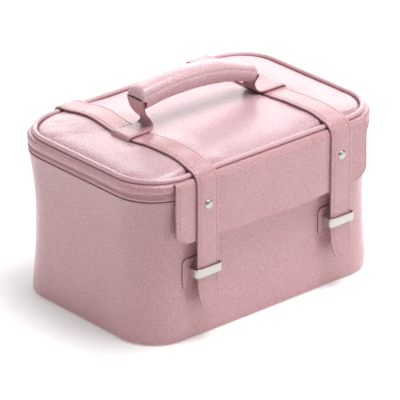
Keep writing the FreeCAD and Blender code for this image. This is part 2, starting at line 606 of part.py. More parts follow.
# each tab hooks round the strap's outer edge, lies over the strap, curls up and rises to the roll's end
tab("left_handle_tab", [(-outer_edge, d("tab_wrap_left")), (-outer_edge, tl), (-inner_edge + 1.0, tl), (-inner_edge + 4.6, tl + 1.5),
                        (-inner_edge + 6.0, tl + 4.8), (-inner_edge + 4.2, tl + 8.8), (-inner_edge - 4.2, tl + 16.4), (-inner_edge - 7.8, tl + 23.3)])
tab("right_handle_tab", [(outer_edge, d("tab_wrap_right")), (outer_edge, tr), (inner_edge - 1.0, tr), (inner_edge - 6.0, tr + 1.2),
                         (inner_edge - 8.2, tr + 4.4), (inner_edge - 7.1, tr + 9.0), (inner_edge - 6.0, tr + 15.5)])

# ------------------------------------------------------------ sliders and pulls
for word, side in (("a", 1.0), ("b", -1.0)):
    near = d("slider_start") * side
    far = (d("slider_start") + d("slider_long")) * side

    def span(u, v):
        return (u, v) if side > 0 else (v, u)

    slider = keep(new_body("zip_slider_" + word))
    # seen from above: outer plate, post between the rows of teeth, inner plate
    sk = new_sketch(slider, "outer", "XY_Plane", d("slider_low"))
    y0, y1 = span(near, far)
    rectangle(sk, d("slider_out"), d("slider_out") + d("slider_plate"), y0, y1)
    pad(slider, sk, d("slider_top") - d("slider_low"), name="outer_plate")
    sk = new_sketch(slider, "post", "XY_Plane", d("post_low"))
    y0, y1 = span(near, near + d("post_long") * side)
    rectangle(sk, d("slider_in"), d("slider_out") + 0.5, y0, y1)
    pad(slider, sk, d("post_tall"), name="post_pad")
    sk = new_sketch(slider, "inner", "XY_Plane", d("slider_in_low"))
    y0, y1 = span(near, far)
    rectangle(sk, d("slider_in"), d("slider_in") + d("slider_in_thick"), y0, y1)
    pad(slider, sk, d("slider_in_top") - d("slider_in_low"), name="inner_plate")
    # bail: two legs and a bar that carries the pull
    centre = (d("slider_start") + d("slider_long") * 0.5) * side
    sk = new_sketch(slider, "legs", "XY_Plane", d("bail_leg_low"))
    face = d("slider_out") + d("slider_plate")
    for leg in (-1.0, 1.0):
        u = centre + d("bail_gap") * (0.5 * leg)
        v = centre + (d("bail_gap") * 0.5 + d("bail_leg")) * leg
        rectangle(sk, face - 0.4, face + d("bail_reach"), u if leg > 0 else v, v if leg > 0 else u)
    pad(slider, sk, d("bail_leg_tall"), name="bail_legs")
    sk = new_sketch(slider, "bar", "XZ_Plane", -centre - d("bail_gap") * 0.5 - 0.4)
    circle(sk, d("bail_x"), d("bail_z"), d("bail_rad"))
    pad(slider, sk, d("bail_gap") + 0.8, name="bail_bar")

    pull = keep(new_body("zip_pull_" + word))
    sk = new_sketch(pull, "eye", "XZ_Plane", -centre - d("pull_wide") * 0.5)
    circle(sk, d("bail_x"), d("bail_z"), d("pull_eye"))
    pad(pull, sk, d("pull_wide"), name="eye_pad")
    sk = new_sketch(pull, "tab", "YZ_Plane", d("bail_x") - d("pull_thick") * 0.5)
    h, k = d("pull_wide") * 0.5, d("pull_flare") * 0.5
    low = d("pull_low")
    polygon(sk, [(centre - h, d("bail_z")), (centre - h, d("bail_z") - 5.0), (centre - k, d("bail_z") - 8.0), (centre - k, low + 2.0), (centre - k * 0.6, low),
                 (centre + k * 0.6, low), (centre + k, low + 2.0), (centre + k, d("bail_z") - 8.0), (centre + h, d("bail_z") - 5.0), (centre + h, d("bail_z"))])
    pad(pull, sk, d("pull_thick"), name="tab_pad")
    sk = new_sketch(pull, "bore", "XZ_Plane", -centre - d("pull_wide") * 0.5 - 2.0)
    circle(sk, d("bail_x"), d("bail_z"), d("pull_bore"))
    cut(pull, sk, reverse=True, name="bore")

# ---------------------------------------------------------------- check, write
doc.recompute()
bad = [o.Name for o in doc.Objects if "Invalid" in o.State or "Error" in o.State]
if bad:
    raise RuntimeError("failed: " + ", ".join(bad))
for body in pieces:
    shape = body.Shape
    if shape.isNull() or not shape.isValid() or len(shape.Solids) != 1:
        raise RuntimeError("bad shape: %s, %d solids" % (body.Label, len(shape.Solids)))
if len({b.Label for b in pieces}) != len(pieces) or len(pieces) > 60:
    raise RuntimeError("labels")
for old in os.listdir("parts"):
    if old.endswith(".step") and old[:-5] not in {b.Label for b in pieces}:
        os.remove(os.path.join("parts", old))
for body in pieces:
    body.Shape.exportStep("parts/%s.step" % body.Label)
    box = body.Shape.BoundBox
    print("%-20s %9.0f mm3  x %7.1f %7.1f  y %7.1f %7.1f  z %6.1f %6.1f" % (
        body.Label, body.Shape.Volume, box.XMin, box.XMax, box.YMin, box.YMax, box.ZMin, box.ZMax))
print(len(pieces), "pieces")
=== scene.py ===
import math
import bpy
import bmesh
import numpy as np
from mathutils import Matrix, Vector
from mathutils.geometry import delaunay_2d_cdt


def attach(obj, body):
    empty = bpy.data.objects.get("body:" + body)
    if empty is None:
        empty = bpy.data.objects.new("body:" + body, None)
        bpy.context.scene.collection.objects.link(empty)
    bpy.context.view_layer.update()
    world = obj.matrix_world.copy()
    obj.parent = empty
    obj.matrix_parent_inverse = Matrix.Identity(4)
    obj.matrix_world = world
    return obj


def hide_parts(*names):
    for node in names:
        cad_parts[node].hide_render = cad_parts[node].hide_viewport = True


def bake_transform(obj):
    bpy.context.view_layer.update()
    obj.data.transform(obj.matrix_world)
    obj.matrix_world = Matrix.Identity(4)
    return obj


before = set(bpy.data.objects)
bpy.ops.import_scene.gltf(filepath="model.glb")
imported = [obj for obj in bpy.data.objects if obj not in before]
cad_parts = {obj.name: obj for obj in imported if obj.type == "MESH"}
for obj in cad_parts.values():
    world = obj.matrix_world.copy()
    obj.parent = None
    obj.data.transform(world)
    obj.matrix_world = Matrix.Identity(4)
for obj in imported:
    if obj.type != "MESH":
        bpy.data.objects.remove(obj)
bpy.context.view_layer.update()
scene = bpy.context.scene
MM = 0.001


# ---------------------------------------------------------------- helpers (all lengths in mm)
def lattice(ix, iy, iz, seed):
    m = np.uint64(0xFFFFFFFF)
    a = [(np.asarray(v, np.int64) & 0xFFFFFFFF).astype(np.uint64) for v in (ix, iy, iz)]
    h = (a[0] * np.uint64(73856093)) ^ (a[1] * np.uint64(19349663)) ^ (a[2] * np.uint64(83492791)) ^ np.uint64(seed * 2654435761 % 4294967296)
    h = h & m
    h = ((h ^ (h >> np.uint64(15))) * np.uint64(2246822519)) & m
    h = ((h ^ (h >> np.uint64(13))) * np.uint64(3266489917)) & m
    h = h ^ (h >> np.uint64(16))
    return (h & np.uint64(0xFFFFFF)).astype(float) / 8388607.5 - 1.0


def noise(p, size, seed=1):
    q = np.asarray(p, float).reshape(-1, 3) / size
    i = np.floor(q).astype(np.int64)
    f = q - i
    f = f * f * (3 - 2 * f)
    total = np.zeros(len(q))
    for dx in (0, 1):
        for dy in (0, 1):
            for dz in (0, 1):
                w = (f[:, 0] if dx else 1 - f[:, 0]) * (f[:, 1] if dy else 1 - f[:, 1]) * (f[:, 2] if dz else 1 - f[:, 2])
                total += w * lattice(i[:, 0] + dx, i[:, 1] + dy, i[:, 2] + dz, seed)
    return total


def step01(a, b, x):
    t = np.clip((np.asarray(x, float) - a) / (b - a), 0, 1)
    return t * t * (3 - 2 * t)


def smooth_line(pts, step, rounds=3):
    p = np.asarray(pts, float)
    for _ in range(rounds):
        a = p[:-1] * 0.75 + p[1:] * 0.25
        b = p[:-1] * 0.25 + p[1:] * 0.75
        q = np.stack([a, b], 1).reshape(-1, p.shape[1])
        p = np.vstack([p[:1], q[1:-1], p[-1:]])
    s = np.concatenate([[0], np.cumsum(np.linalg.norm(np.diff(p, axis=0), axis=1))])
    n = max(2, int(round(s[-1] / step)) + 1)
    t = np.linspace(0, s[-1], n)
    return np.stack([np.interp(t, s, p[:, k]) for k in range(p.shape[1])], 1)


def lengths(p):
    return np.concatenate([[0], np.cumsum(np.linalg.norm(np.diff(p, axis=0), axis=1))])


def loft(rows, close_u=True, close_v=False, cap=True):
    rows = np.asarray(rows, float)
    nv, nu = rows.shape[:2]
    f = []
    for j in range(nv if close_v else nv - 1):
        k = (j + 1) % nv
        for i in range(nu if close_u else nu - 1):
            l = (i + 1) % nu
            f.append((j * nu + i, j * nu + l, k * nu + l, k * nu + i))
    if cap and close_u and not close_v:
        f.append(tuple(range(nu - 1, -1, -1)))
        f.append(tuple((nv - 1) * nu + i for i in range(nu)))
    return rows.reshape(-1, 3), f


class Geo:
    def __init__(self):
        self.v, self.f, self.m, self.t, self.n = [], [], [], [], 0

    def add(self, v, f, m=0, tone=1.0):
        v = np.asarray(v, float).reshape(-1, 3)
        self.v.append(v)
        self.t.append(np.ones(len(v)) * np.asarray(tone, float).reshape(-1))
        o = self.n
        self.f.extend([tuple(i + o for i in q) for q in f])
        self.m.extend([m] * len(f))
        self.n += len(v)

    def make(self, name, mats, sharp=38):
        me = bpy.data.meshes.new(name)
        me.from_pydata((np.concatenate(self.v) * MM).tolist(), [], self.f)
        for m in mats:
            me.materials.append(m)
        me.polygons.foreach_set("material_index", self.m)
        me.polygons.foreach_set("use_smooth", [True] * len(self.f))
        b = bmesh.new()
        b.from_mesh(me)
        bmesh.ops.recalc_face_normals(b, faces=b.faces)
        b.to_mesh(me)
        b.free()
        me.set_sharp_from_angle(angle=math.radians(sharp))
        # the tone attribute scales the colour: most of its values are painted shade and painted highlight, the rest
        # edge paint
        at = me.attributes.new("tone", "FLOAT", "POINT")
        at.data.foreach_set("value", np.concatenate(self.t).astype(np.float32))
        o = bpy.data.objects.new(name, me)
        scene.collection.objects.link(o)
        return o


def ring_frame(nx, ny, nc):
    """Unit description of a rounded rectangle, from the middle of the back, anticlockwise from above."""
    c = []
    h = nx // 2
    for i in range(h):
        c.append((-i / h, 1, 0, 1))
    for k, (sx, sy, a0) in enumerate(((-1, 1, 90), (-1, -1, 180), (1, -1, 270), (1, 1, 0))):
        for i in range(nc):
            a = math.radians(a0 + 90 * i / nc)
            c.append((sx, sy, math.cos(a), math.sin(a)))
        if k == 0:
            c += [(-1, 1 - 2 * i / ny, -1, 0) for i in range(ny)]
        elif k == 1:
            c += [(-1 + 2 * i / nx, -1, 0, -1) for i in range(nx)]
        elif k == 2:
            c += [(1, -1 + 2 * i / ny, 1, 0) for i in range(ny)]
        else:
            c += [(1 - i / h, 1, 0, 1) for i in range(h)]
    return np.array(c, float)


def ring(fr, A, B, R, z):
    x = fr[:, 0] * (A - R) + fr[:, 2] * R
    y = fr[:, 1] * (B - R) + fr[:, 3] * R
    return np.stack([x, y, np.full(len(fr), float(z))], 1)


def along(A, B, R, s):
    """Point and outward normal at length s round a rounded rectangle, from the middle of the back."""
    a, b, q = A - R, B - R, math.pi * R / 2
    parts = [(a, (0, B), (-1, 0)), (q, (-a, b), 90), (2 * b, (-A, b), (0, -1)), (q, (-a, -b), 180), (2 * a, (-a, -B), (1, 0)), (q, (a, -b), 270),
             (2 * b, (A, -b), (0, 1)), (q, (a, b), 0), (a, (a, B), (-1, 0))]
    out = []
    for t in s:
        for n, p, d in parts:
            if t <= n or d is parts[-1][2] and p == parts[-1][1]:
                break
            t -= n
        if isinstance(d, tuple):
            out.append((p[0] + d[0] * t, p[1] + d[1] * t, d[1], -d[0]))
        else:
            g = math.radians(d) + t / R
            out.append((p[0] + R * math.cos(g), p[1] + R * math.sin(g), math.cos(g), math.sin(g)))
    return np.array(out)


def inset(A, B, R, x, y):
    """How far a point lies inside a rounded rectangle."""
    qx, qy = np.abs(x) - (A - R), np.abs(y) - (B - R)
    return R - np.hypot(np.maximum(qx, 0), np.maximum(qy, 0)) - np.minimum(np.maximum(qx, qy), 0)


# Edge sections as (inset, height, tone). Their tones are painted: the rounded edges and the stitch groove are darker as
# painted shade, and the plain band's darkest cut edge is edge paint deepened by painted shade.
EDGE_TOP = [(0.0, 0.0, 0.9), (0.06, 0.5, 0.94), (0.28, 0.9, 0.98), (0.75, 1.17, 1.02), (1.4, 1.3, 1.02), (2.2, 1.3, 1.0), (2.6, 1.12, 0.94), (2.92, 0.98, 0.88),
            (3.28, 0.98, 0.88), (3.6, 1.12, 0.94), (4.0, 1.32, 0.99), (5.6, 1.38, 1.0)]
EDGE_PLAIN = [(0.0, 0.0, 0.62), (0.06, 0.5, 0.64), (0.28, 0.9, 0.8), (0.75, 1.17, 1.04), (1.4, 1.3, 1.0), (3.0, 1.33, 1.0), (5.6, 1.36, 1.0)]
EDGE_LOW = [(0.06, -0.5), (0.28, -0.9), (0.75, -1.17), (1.4, -1.3), (4.5, -1.3)]


def sweep(P, W, hw, t=2.6, ends=(0, 0), groove=True, mids=6):
    """A flat band along P, as wide as 2 hw across W; its upper side is along tangent x W."""
    P, W = np.asarray(P, float), np.asarray(W, float)
    n = len(P)
    hw = np.ones(n) * np.asarray(hw, float)
    t = np.ones(n) * np.asarray(t, float)
    T = np.gradient(P, axis=0)
    T /= np.linalg.norm(T, axis=1)[:, None]
    N = np.cross(T, W)
    N /= np.linalg.norm(N, axis=1)[:, None]
    e = EDGE_TOP if groove else EDGE_PLAIN
    kin = np.minimum(1.0, hw / 8.0)
    xs, hs, ts = [], [], []
    for d, h, tone in e:
        xs.append(-(hw - d * kin)); hs.append(h); ts.append(tone)
    f = np.linspace(-1, 1, mids + 2)[1:-1]
    for q in f:
        xs.append(q * (hw - 5.6 * kin)); hs.append(1.38 + 0.05 * (1 - q * q)); ts.append(1.0)
    for d, h, tone in e[::-1]:
        xs.append(hw - d * kin); hs.append(h); ts.append(tone)
    # the lower edges (0.7) and the underside (0.85) are painted darker as painted shade
    for d, h in EDGE_LOW:
        xs.append(hw - d * kin); hs.append(h); ts.append(0.7)
    for q in f[::-1]:
        xs.append(q * (hw - 5.6 * kin)); hs.append(-1.3); ts.append(0.85)
    for d, h in EDGE_LOW[::-1]:
        xs.append(-(hw - d * kin)); hs.append(h); ts.append(0.7)
    X = np.stack(xs, 1)
    H = np.array(hs)[None, :] * (t / 2.6)[:, None]
    rows = P[:, None, :] + X[:, :, None] * W[None, None, :] + H[:, :, None] * N[:, None, :]
    tone = np.tile(np.array(ts), (n, 1))
    for end, k in ((0, ends[0]), (-1, ends[1])):
        if k:
            mid = P[end] + (T[end] * 0.45 if end else -T[end] * 0.45)
            sc = rows[end] - P[end]
            extra = [P[end] + sc * 0.995 + (T[end] if end else -T[end]) * 0.25, mid + sc - 0.45 * (sc @ N[end])[:, None] * N[end] - np.sign(sc @ W)[:, None] * np.minimum(np.abs(sc @ W), 0.5)[:, None] * W]
            if end:
                rows = np.concatenate([rows, np.array(extra)])
                tone = np.concatenate([tone, tone[-1:] * 1.03, tone[-1:]])
            else:
                rows = np.concatenate([np.array(extra[::-1]), rows])
                tone = np.concatenate([tone[:1], tone[:1] * 1.03, tone])
    v, fc = loft(rows)
    return v, fc, tone.reshape(-1), (P, T, N, W, t)


def one_stitch(g, p, q, up, r=0.42, m=1):
    """One sewn stitch from p to q: a short thread that dips in at both ends."""
    p, q, up = np.asarray(p, float), np.asarray(q, float), np.asarray(up, float)
    d = q - p
    d /= np.linalg.norm(d)
    side = np.cross(d, up)
    side /= np.linalg.norm(side)
    rows = []
    for u, k, lift in ((0, 0.45, -0.5), (0.1, 0.85, -0.12), (0.3, 1.0, 0.1), (0.7, 1.0, 0.1), (0.9, 0.85, -0.12), (1, 0.45, -0.5)):
        c = p + (q - p) * u + up * lift * r
        rows.append([c + (side * math.cos(a) + up * math.sin(a) * 0.85) * r * k for a in np.linspace(0, 2 * math.pi, 7)[:-1]])
    v, f = loft(rows)
    g.add(v, f, m)


def stitch_line(g, pts, ups, pitch=4.0, share=0.66, r=0.48, m=1, skew=0.0):
    """A row of stitches along pts."""
    pts, ups = np.asarray(pts, float), np.asarray(ups, float)
    s = lengths(pts)
    n = max(1, int(s[-1] / pitch))
    gap = s[-1] / n
    for i in range(n):
        a, b = (i + 0.5 - share / 2) * gap, (i + 0.5 + share / 2) * gap
        pa = np.array([np.interp(a, s, pts[:, k]) for k in range(3)])
        pb = np.array([np.interp(b, s, pts[:, k]) for k in range(3)])
        u = np.array([np.interp((a + b) / 2, s, ups[:, k]) for k in range(3)])
        u /= np.linalg.norm(u)
        side = np.cross(pb - pa, u)
        side /= np.linalg.norm(side)
        one_stitch(g, pa - side * skew, pb + side * skew, u, r, m)


def band_stitches(g, info, x, lo=0, hi=None, h=1.02, **kw):
    P, T, N, W, t = info
    sl = slice(lo, hi)
    stitch_line(g, P[sl] + np.asarray(x if np.ndim(x) == 0 else np.asarray(x)[sl][:, None], float) * W + N[sl] * (h * t[sl] / 2.6)[:, None], N[sl], **kw)


def plate(outline, z0, z1, r, axis):
    """A flat plate with rounded rims. outline is (n, 2); axis maps (a, b, height) to a point."""
    o = np.asarray(outline, float)
    d = np.roll(o, -1, 0) - np.roll(o, 1, 0)
    nrm = np.stack([d[:, 1], -d[:, 0]], 1)
    nrm /= np.linalg.norm(nrm, axis=1)[:, None]
    if np.sum(o[:, 0] * np.roll(o[:, 1], -1) - np.roll(o[:, 0], -1) * o[:, 1]) < 0:
        nrm = -nrm
    rows = []
    for a in (0, 22, 45, 68, 90):
        q = math.radians(a)
        rows.append((r * (1 - math.sin(q)), z1 - r * (1 - math.cos(q))))
    prof = rows + [(i, z0 + z1 - z) for i, z in rows[::-1]]
    out = []
    for i, z in prof:
        p = o - nrm * i
        out.append([axis(a, b, z) for a, b in p])
    return loft(np.array(out, float))


def lathe(profile, centre, axis, n=40):
    """profile: (radius, height) pairs from the top of the axis to the bottom."""
    ax = np.asarray(axis, float)
    u = np.cross(ax, (0.0, 0.0, 1.0) if abs(ax[2]) < 0.9 else (1.0, 0.0, 0.0))
    u /= np.linalg.norm(u)
    w = np.cross(ax, u)
    rows = [[np.asarray(centre) + ax * h + (u * math.cos(a) + w * math.sin(a)) * max(r, 0.02) for a in np.linspace(0, 2 * math.pi, n + 1)[:-1]] for r, h in profile]
    return loft(np.array(rows))


def rounded(hx, hy, r, n=7, cx=0.0, cy=0.0):
    p = []
    for sx, sy, a0 in ((1, 1, 0), (-1, 1, 90), (-1, -1, 180), (1, -1, 270)):
        for i in range(n):
            a = math.radians(a0 + 90 * i / (n - 1))
            p.append((cx + sx * (hx - r) + r * math.cos(a), cy + sy * (hy - r) + r * math.sin(a)))
    return np.array(p)


def dense(outline, step):
    """The closed outline with points no further apart than step."""
    o = np.asarray(outline, float)
    out = []
    for a, b in zip(o, np.roll(o, -1, 0)):
        n = max(1, int(np.ceil(np.linalg.norm(b - a) / step)))
        out += [a + (b - a) * i / n for i in range(n)]
    return np.array(out)


# ---------------------------------------------------------------- materials
def new_mat(name):
    m = bpy.data.materials.new(name)
    m.use_nodes = True
    nt = m.node_tree
    nt.nodes.clear()
    out = nt.nodes.new("ShaderNodeOutputMaterial")
    b = nt.nodes.new("ShaderNodeBsdfPrincipled")
    nt.links.new(b.outputs[0], out.inputs[0])
    return m, nt, b


def node(nt, kind, ins=None, **props):
    n = nt.nodes.new(kind)
    for k, v in props.items():
        setattr(n, k, v)
    for k, v in (ins or {}).items():
        if isinstance(v, bpy.types.NodeSocket):
            nt.links.new(v, n.inputs[k])
        else:
            n.inputs[k].default_value = v
    return n


def math_node(nt, op, a, b=None, c=None):
    n = nt.nodes.new("ShaderNodeMath")
    n.operation = op
    for i, v in enumerate((a, b, c)):
        if v is None:
            continue
        if isinstance(v, bpy.types.NodeSocket):
            nt.links.new(v, n.inputs[i])
        else:
            n.inputs[i].default_value = v
    return n.outputs[0]


def ramp(nt, fac, stops):
    n = nt.nodes.new("ShaderNodeValToRGB")
    while len(n.color_ramp.elements) < len(stops):
        n.color_ramp.elements.new(0.5)
    for e, (p, c) in zip(n.color_ramp.elements, stops):
        e.position = p
        e.color = (*c, 1)
    nt.links.new(fac, n.inputs[0])
    return n.outputs[0]


def maprange(nt, v, a, b, c, d, kind="LINEAR"):
    n = node(nt, "ShaderNodeMapRange", {0: v, 1: a, 2: b, 3: c, 4: d}, interpolation_type=kind)
    return n.outputs[0]


def times(nt, col, val):
    """Colour times a grey factor that varies over the surface."""
    n = node(nt, "ShaderNodeVectorMath", {0: col}, operation="SCALE")
    nt.links.new(val, n.inputs["Scale"])
    return n.outputs[0]


def leather(name, base, cell=2.7, depth=0.48, rough=(0.36, 0.47), sheen=0.06):
    m, nt, b = new_mat(name)
    co = node(nt, "ShaderNodeTexCoord").outputs["Object"]
    warp = node(nt, "ShaderNodeTexNoise", {"Vector": co, "Scale": 210.0, "Detail": 1.0})
    off = node(nt, "ShaderNodeVectorMath", {0: warp.outputs["Color"], 1: (0.0022, 0.0022, 0.0022), 2: (-0.0011, -0.0011, -0.0011)}, operation="MULTIPLY_ADD")
    p = node(nt, "ShaderNodeVectorMath", {0: co, 1: off.outputs[0]}, operation="ADD").outputs[0]
    big = node(nt, "ShaderNodeTexVoronoi", {"Vector": p, "Scale": 1000 / cell, "Randomness": 0.95}, feature="DISTANCE_TO_EDGE").outputs["Distance"]
    small = node(nt, "ShaderNodeTexVoronoi", {"Vector": p, "Scale": 1000 / (cell * 0.45)}, feature="F1").outputs["Distance"]
    grain = node(nt, "ShaderNodeTexNoise", {"Vector": co, "Scale": 900.0, "Detail": 2.0}).outputs["Fac"]
    pebble = maprange(nt, big, 0.0, 0.36, 0.0, 1.0, "SMOOTHSTEP")
    dome = maprange(nt, small, 0.0, 0.75, 1.0, 0.0)
    h = math_node(nt, "ADD", math_node(nt, "MULTIPLY", pebble, 0.75), math_node(nt, "ADD", math_node(nt, "MULTIPLY", dome, 0.2), math_node(nt, "MULTIPLY", grain, 0.08)))
    bump = node(nt, "ShaderNodeBump", {"Height": h, "Strength": 1.0, "Distance": depth * MM})
    nt.links.new(bump.outputs[0], b.inputs["Normal"])
    lo = tuple(c * k for c, k in zip(base, (0.82, 0.72, 0.73)))
    hi = tuple(min(1, c * k) for c, k in zip(base, (1.02, 1.03, 1.03)))
    col = ramp(nt, math_node(nt, "MULTIPLY", h, 0.9), [(0.05, lo), (0.45, base), (0.95, hi)])
    broad = node(nt, "ShaderNodeTexNoise", {"Vector": co, "Scale": 26.0, "Detail": 3.0}).outputs["Fac"]
    mottle = node(nt, "ShaderNodeTexNoise", {"Vector": co, "Scale": 240.0, "Detail": 2.0}).outputs["Fac"]
    shade = math_node(nt, "ADD", maprange(nt, broad, 0.3, 0.7, 0.475, 0.525), maprange(nt, mottle, 0.3, 0.7, 0.485, 0.515))
    # tone: per-point painted shade and painted highlight, with the edge paint, set on each mesh
    tone = node(nt, "ShaderNodeAttribute", attribute_name="tone").outputs["Fac"]
    nt.links.new(times(nt, col, math_node(nt, "MULTIPLY", shade, tone)), b.inputs["Base Color"])
    nt.links.new(maprange(nt, h, 0.2, 1.0, rough[1], rough[0]), b.inputs["Roughness"])
    b.inputs["IOR"].default_value = 1.5
    b.inputs["Coat Weight"].default_value = 0.9
    b.inputs["Coat Roughness"].default_value = 0.3
    b.inputs["Sheen Weight"].default_value = sheen
    b.inputs["Sheen Roughness"].default_value = 0.45
    b.inputs["Sheen Tint"].default_value = (1.0, 0.86, 0.88, 1)
    return m


def weave(name, base, pitch=0.9, depth=0.12, rough=0.85, sheen=0.3, twill=False):
    m, nt, b = new_mat(name)
    co = node(nt, "ShaderNodeTexCoord").outputs["Object"]
    x = node(nt, "ShaderNodeSeparateXYZ", {0: co})
    w = []
    for k in range(3):
        v = x.outputs[k]
        if twill:
            v = math_node(nt, "ADD", v, x.outputs[(k + 1) % 3])
        w.append(math_node(nt, "SINE", math_node(nt, "MULTIPLY", v, 2 * math.pi * 1000 / pitch)))
    h = math_node(nt, "ADD", math_node(nt, "MULTIPLY", w[0], w[2]), math_node(nt, "ADD", math_node(nt, "MULTIPLY", w[1], w[2]), math_node(nt, "MULTIPLY", w[0], w[1])))
    slub = node(nt, "ShaderNodeTexNoise", {"Vector": co, "Scale": 420.0, "Detail": 3.0}).outputs["Fac"]
    hh = math_node(nt, "ADD", math_node(nt, "MULTIPLY", h, 0.4), slub)
    bump = node(nt, "ShaderNodeBump", {"Height": hh, "Strength": 0.6, "Distance": depth * MM})
    nt.links.new(bump.outputs[0], b.inputs["Normal"])
    col = ramp(nt, maprange(nt, hh, -0.3, 1.3, 0.0, 1.0), [(0.0, tuple(c * 0.72 for c in base)), (0.55, base), (1.0, tuple(min(1, c * 1.1) for c in base))])
    broad = node(nt, "ShaderNodeTexNoise", {"Vector": co, "Scale": 30.0, "Detail": 2.0}).outputs["Fac"]
    tone = node(nt, "ShaderNodeAttribute", attribute_name="tone").outputs["Fac"]
    nt.links.new(times(nt, col, math_node(nt, "MULTIPLY", maprange(nt, broad, 0.3, 0.7, 0.95, 1.05), tone)), b.inputs["Base Color"])
    nt.links.new(maprange(nt, slub, 0.3, 0.7, rough - 0.06, rough + 0.06), b.inputs["Roughness"])
    b.inputs["Sheen Weight"].default_value = sheen
    b.inputs["Sheen Roughness"].default_value = 0.5
    return m


def metal(name, base, rough=(0.2, 0.36), stretch=(60.0, 900.0, 900.0), depth=0.02):
    m, nt, b = new_mat(name)
    co = node(nt, "ShaderNodeTexCoord").outputs["Object"]
    q = node(nt, "ShaderNodeVectorMath", {0: co, 1: stretch}, operation="MULTIPLY").outputs[0]
    brush = node(nt, "ShaderNodeTexNoise", {"Vector": q, "Scale": 3.0, "Detail": 3.0}).outputs["Fac"]
    blot = node(nt, "ShaderNodeTexNoise", {"Vector": co, "Scale": 160.0, "Detail": 3.0}).outputs["Fac"]
    col = ramp(nt, blot, [(0.3, tuple(c * 0.93 for c in base)), (0.7, base)])
    nt.links.new(col, b.inputs["Base Color"])
    nt.links.new(maprange(nt, math_node(nt, "ADD", brush, blot), 0.6, 1.4, rough[0], rough[1]), b.inputs["Roughness"])
    bump = node(nt, "ShaderNodeBump", {"Height": brush, "Strength": 0.5, "Distance": depth * MM})
    nt.links.new(bump.outputs[0], b.inputs["Normal"])
    b.inputs["Metallic"].default_value = 1.0
    return m


def plain(name, base, rough=0.6, size=300.0, depth=0.05, spread=0.1, spec=0.5):
    m, nt, b = new_mat(name)
    co = node(nt, "ShaderNodeTexCoord").outputs["Object"]
    n = node(nt, "ShaderNodeTexNoise", {"Vector": co, "Scale": size, "Detail": 4.0}).outputs["Fac"]
    nt.links.new(ramp(nt, n, [(0.3, tuple(c * (1 - spread) for c in base)), (0.7, tuple(min(1, c * (1 + spread * 0.5)) for c in base))]), b.inputs["Base Color"])
    nt.links.new(maprange(nt, n, 0.3, 0.7, rough - 0.07, rough + 0.07), b.inputs["Roughness"])
    bump = node(nt, "ShaderNodeBump", {"Height": n, "Strength": 0.5, "Distance": depth * MM})
    nt.links.new(bump.outputs[0], b.inputs["Normal"])
    b.inputs["Specular IOR Level"].default_value = spec
    return m


def twisted(name, base):
    """Sewing thread: fine slanting plies."""
    m, nt, b = new_mat(name)
    co = node(nt, "ShaderNodeTexCoord").outputs["Object"]
    ply = node(nt, "ShaderNodeTexWave", {"Vector": co, "Scale": 700.0, "Distortion": 2.0, "Detail": 1.0}, bands_direction="DIAGONAL").outputs["Fac"]
    nt.links.new(ramp(nt, ply, [(0.0, tuple(c * 0.8 for c in base)), (1.0, base)]), b.inputs["Base Color"])
    bump = node(nt, "ShaderNodeBump", {"Height": ply, "Strength": 0.5, "Distance": 0.06 * MM})
    nt.links.new(bump.outputs[0], b.inputs["Normal"])
    b.inputs["Roughness"].default_value = 0.55
    return m


def glass(name):
    m, nt, b = new_mat(name)
    co = node(nt, "ShaderNodeTexCoord").outputs["Object"]
    n = node(nt, "ShaderNodeTexNoise", {"Vector": co, "Scale": 40.0, "Detail": 4.0}).outputs["Fac"]
    nt.links.new(ramp(nt, n, [(0.35, (0.86, 0.88, 0.885)), (0.65, (0.9, 0.915, 0.92))]), b.inputs["Base Color"])
    nt.links.new(maprange(nt, n, 0.4, 0.75, 0.012, 0.05), b.inputs["Roughness"])
    b.inputs["Metallic"].default_value = 1.0
    return m


PINK = (0.640, 0.352, 0.380)
SKIN = leather("pebbled_leatherette", PINK)
# The padded top, the grip roll and the piping use lighter, paler copies of the pink. This is a painted highlight
# standing in for the sheen these upward-facing parts catch from the lights above and behind.
LIT_PAD = leather("padded_leatherette", tuple(c * k for c, k in zip(PINK, (1.04, 1.22, 1.24))), cell=2.7, depth=0.48)
LIT_WELT = leather("piping_leatherette", tuple(c * k for c, k in zip(PINK, (1.04, 1.18, 1.2))), cell=1.7, depth=0.14)
BAND = leather("strap_leatherette", tuple(c * k for c, k in zip(PINK, (1.0, 1.0, 1.0))), cell=2.3, depth=0.4)
THREAD = twisted("sewing_thread", (0.70, 0.44, 0.47))
NICKEL = metal("satin_nickel", (0.58, 0.55, 0.525), rough=(0.24, 0.4))
LINING = weave("woven_lining", (0.52, 0.36, 0.35), pitch=1.1)
TAPE = weave("zip_tape", (0.72, 0.42, 0.455), pitch=0.8, twill=True)
COIL = plain("nylon_coil", (0.68, 0.38, 0.41), rough=0.4, size=900.0)
BOARD = plain("stiff_board", (0.42, 0.38, 0.34), rough=0.8, size=260.0)
MIRROR = glass("silvered_glass")


def ride(o, body, slot, *nodes):
    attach(o, body)
    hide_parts(*nodes)
    return o


def bridge(o, a, b, start, end, slot, *nodes):
    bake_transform(o)
    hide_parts(*nodes)
    return o


for name in ("base_board", "body_board", "lid_board"):
    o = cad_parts[name]
    o.data.materials.clear()
    o.data.materials.append(BOARD)

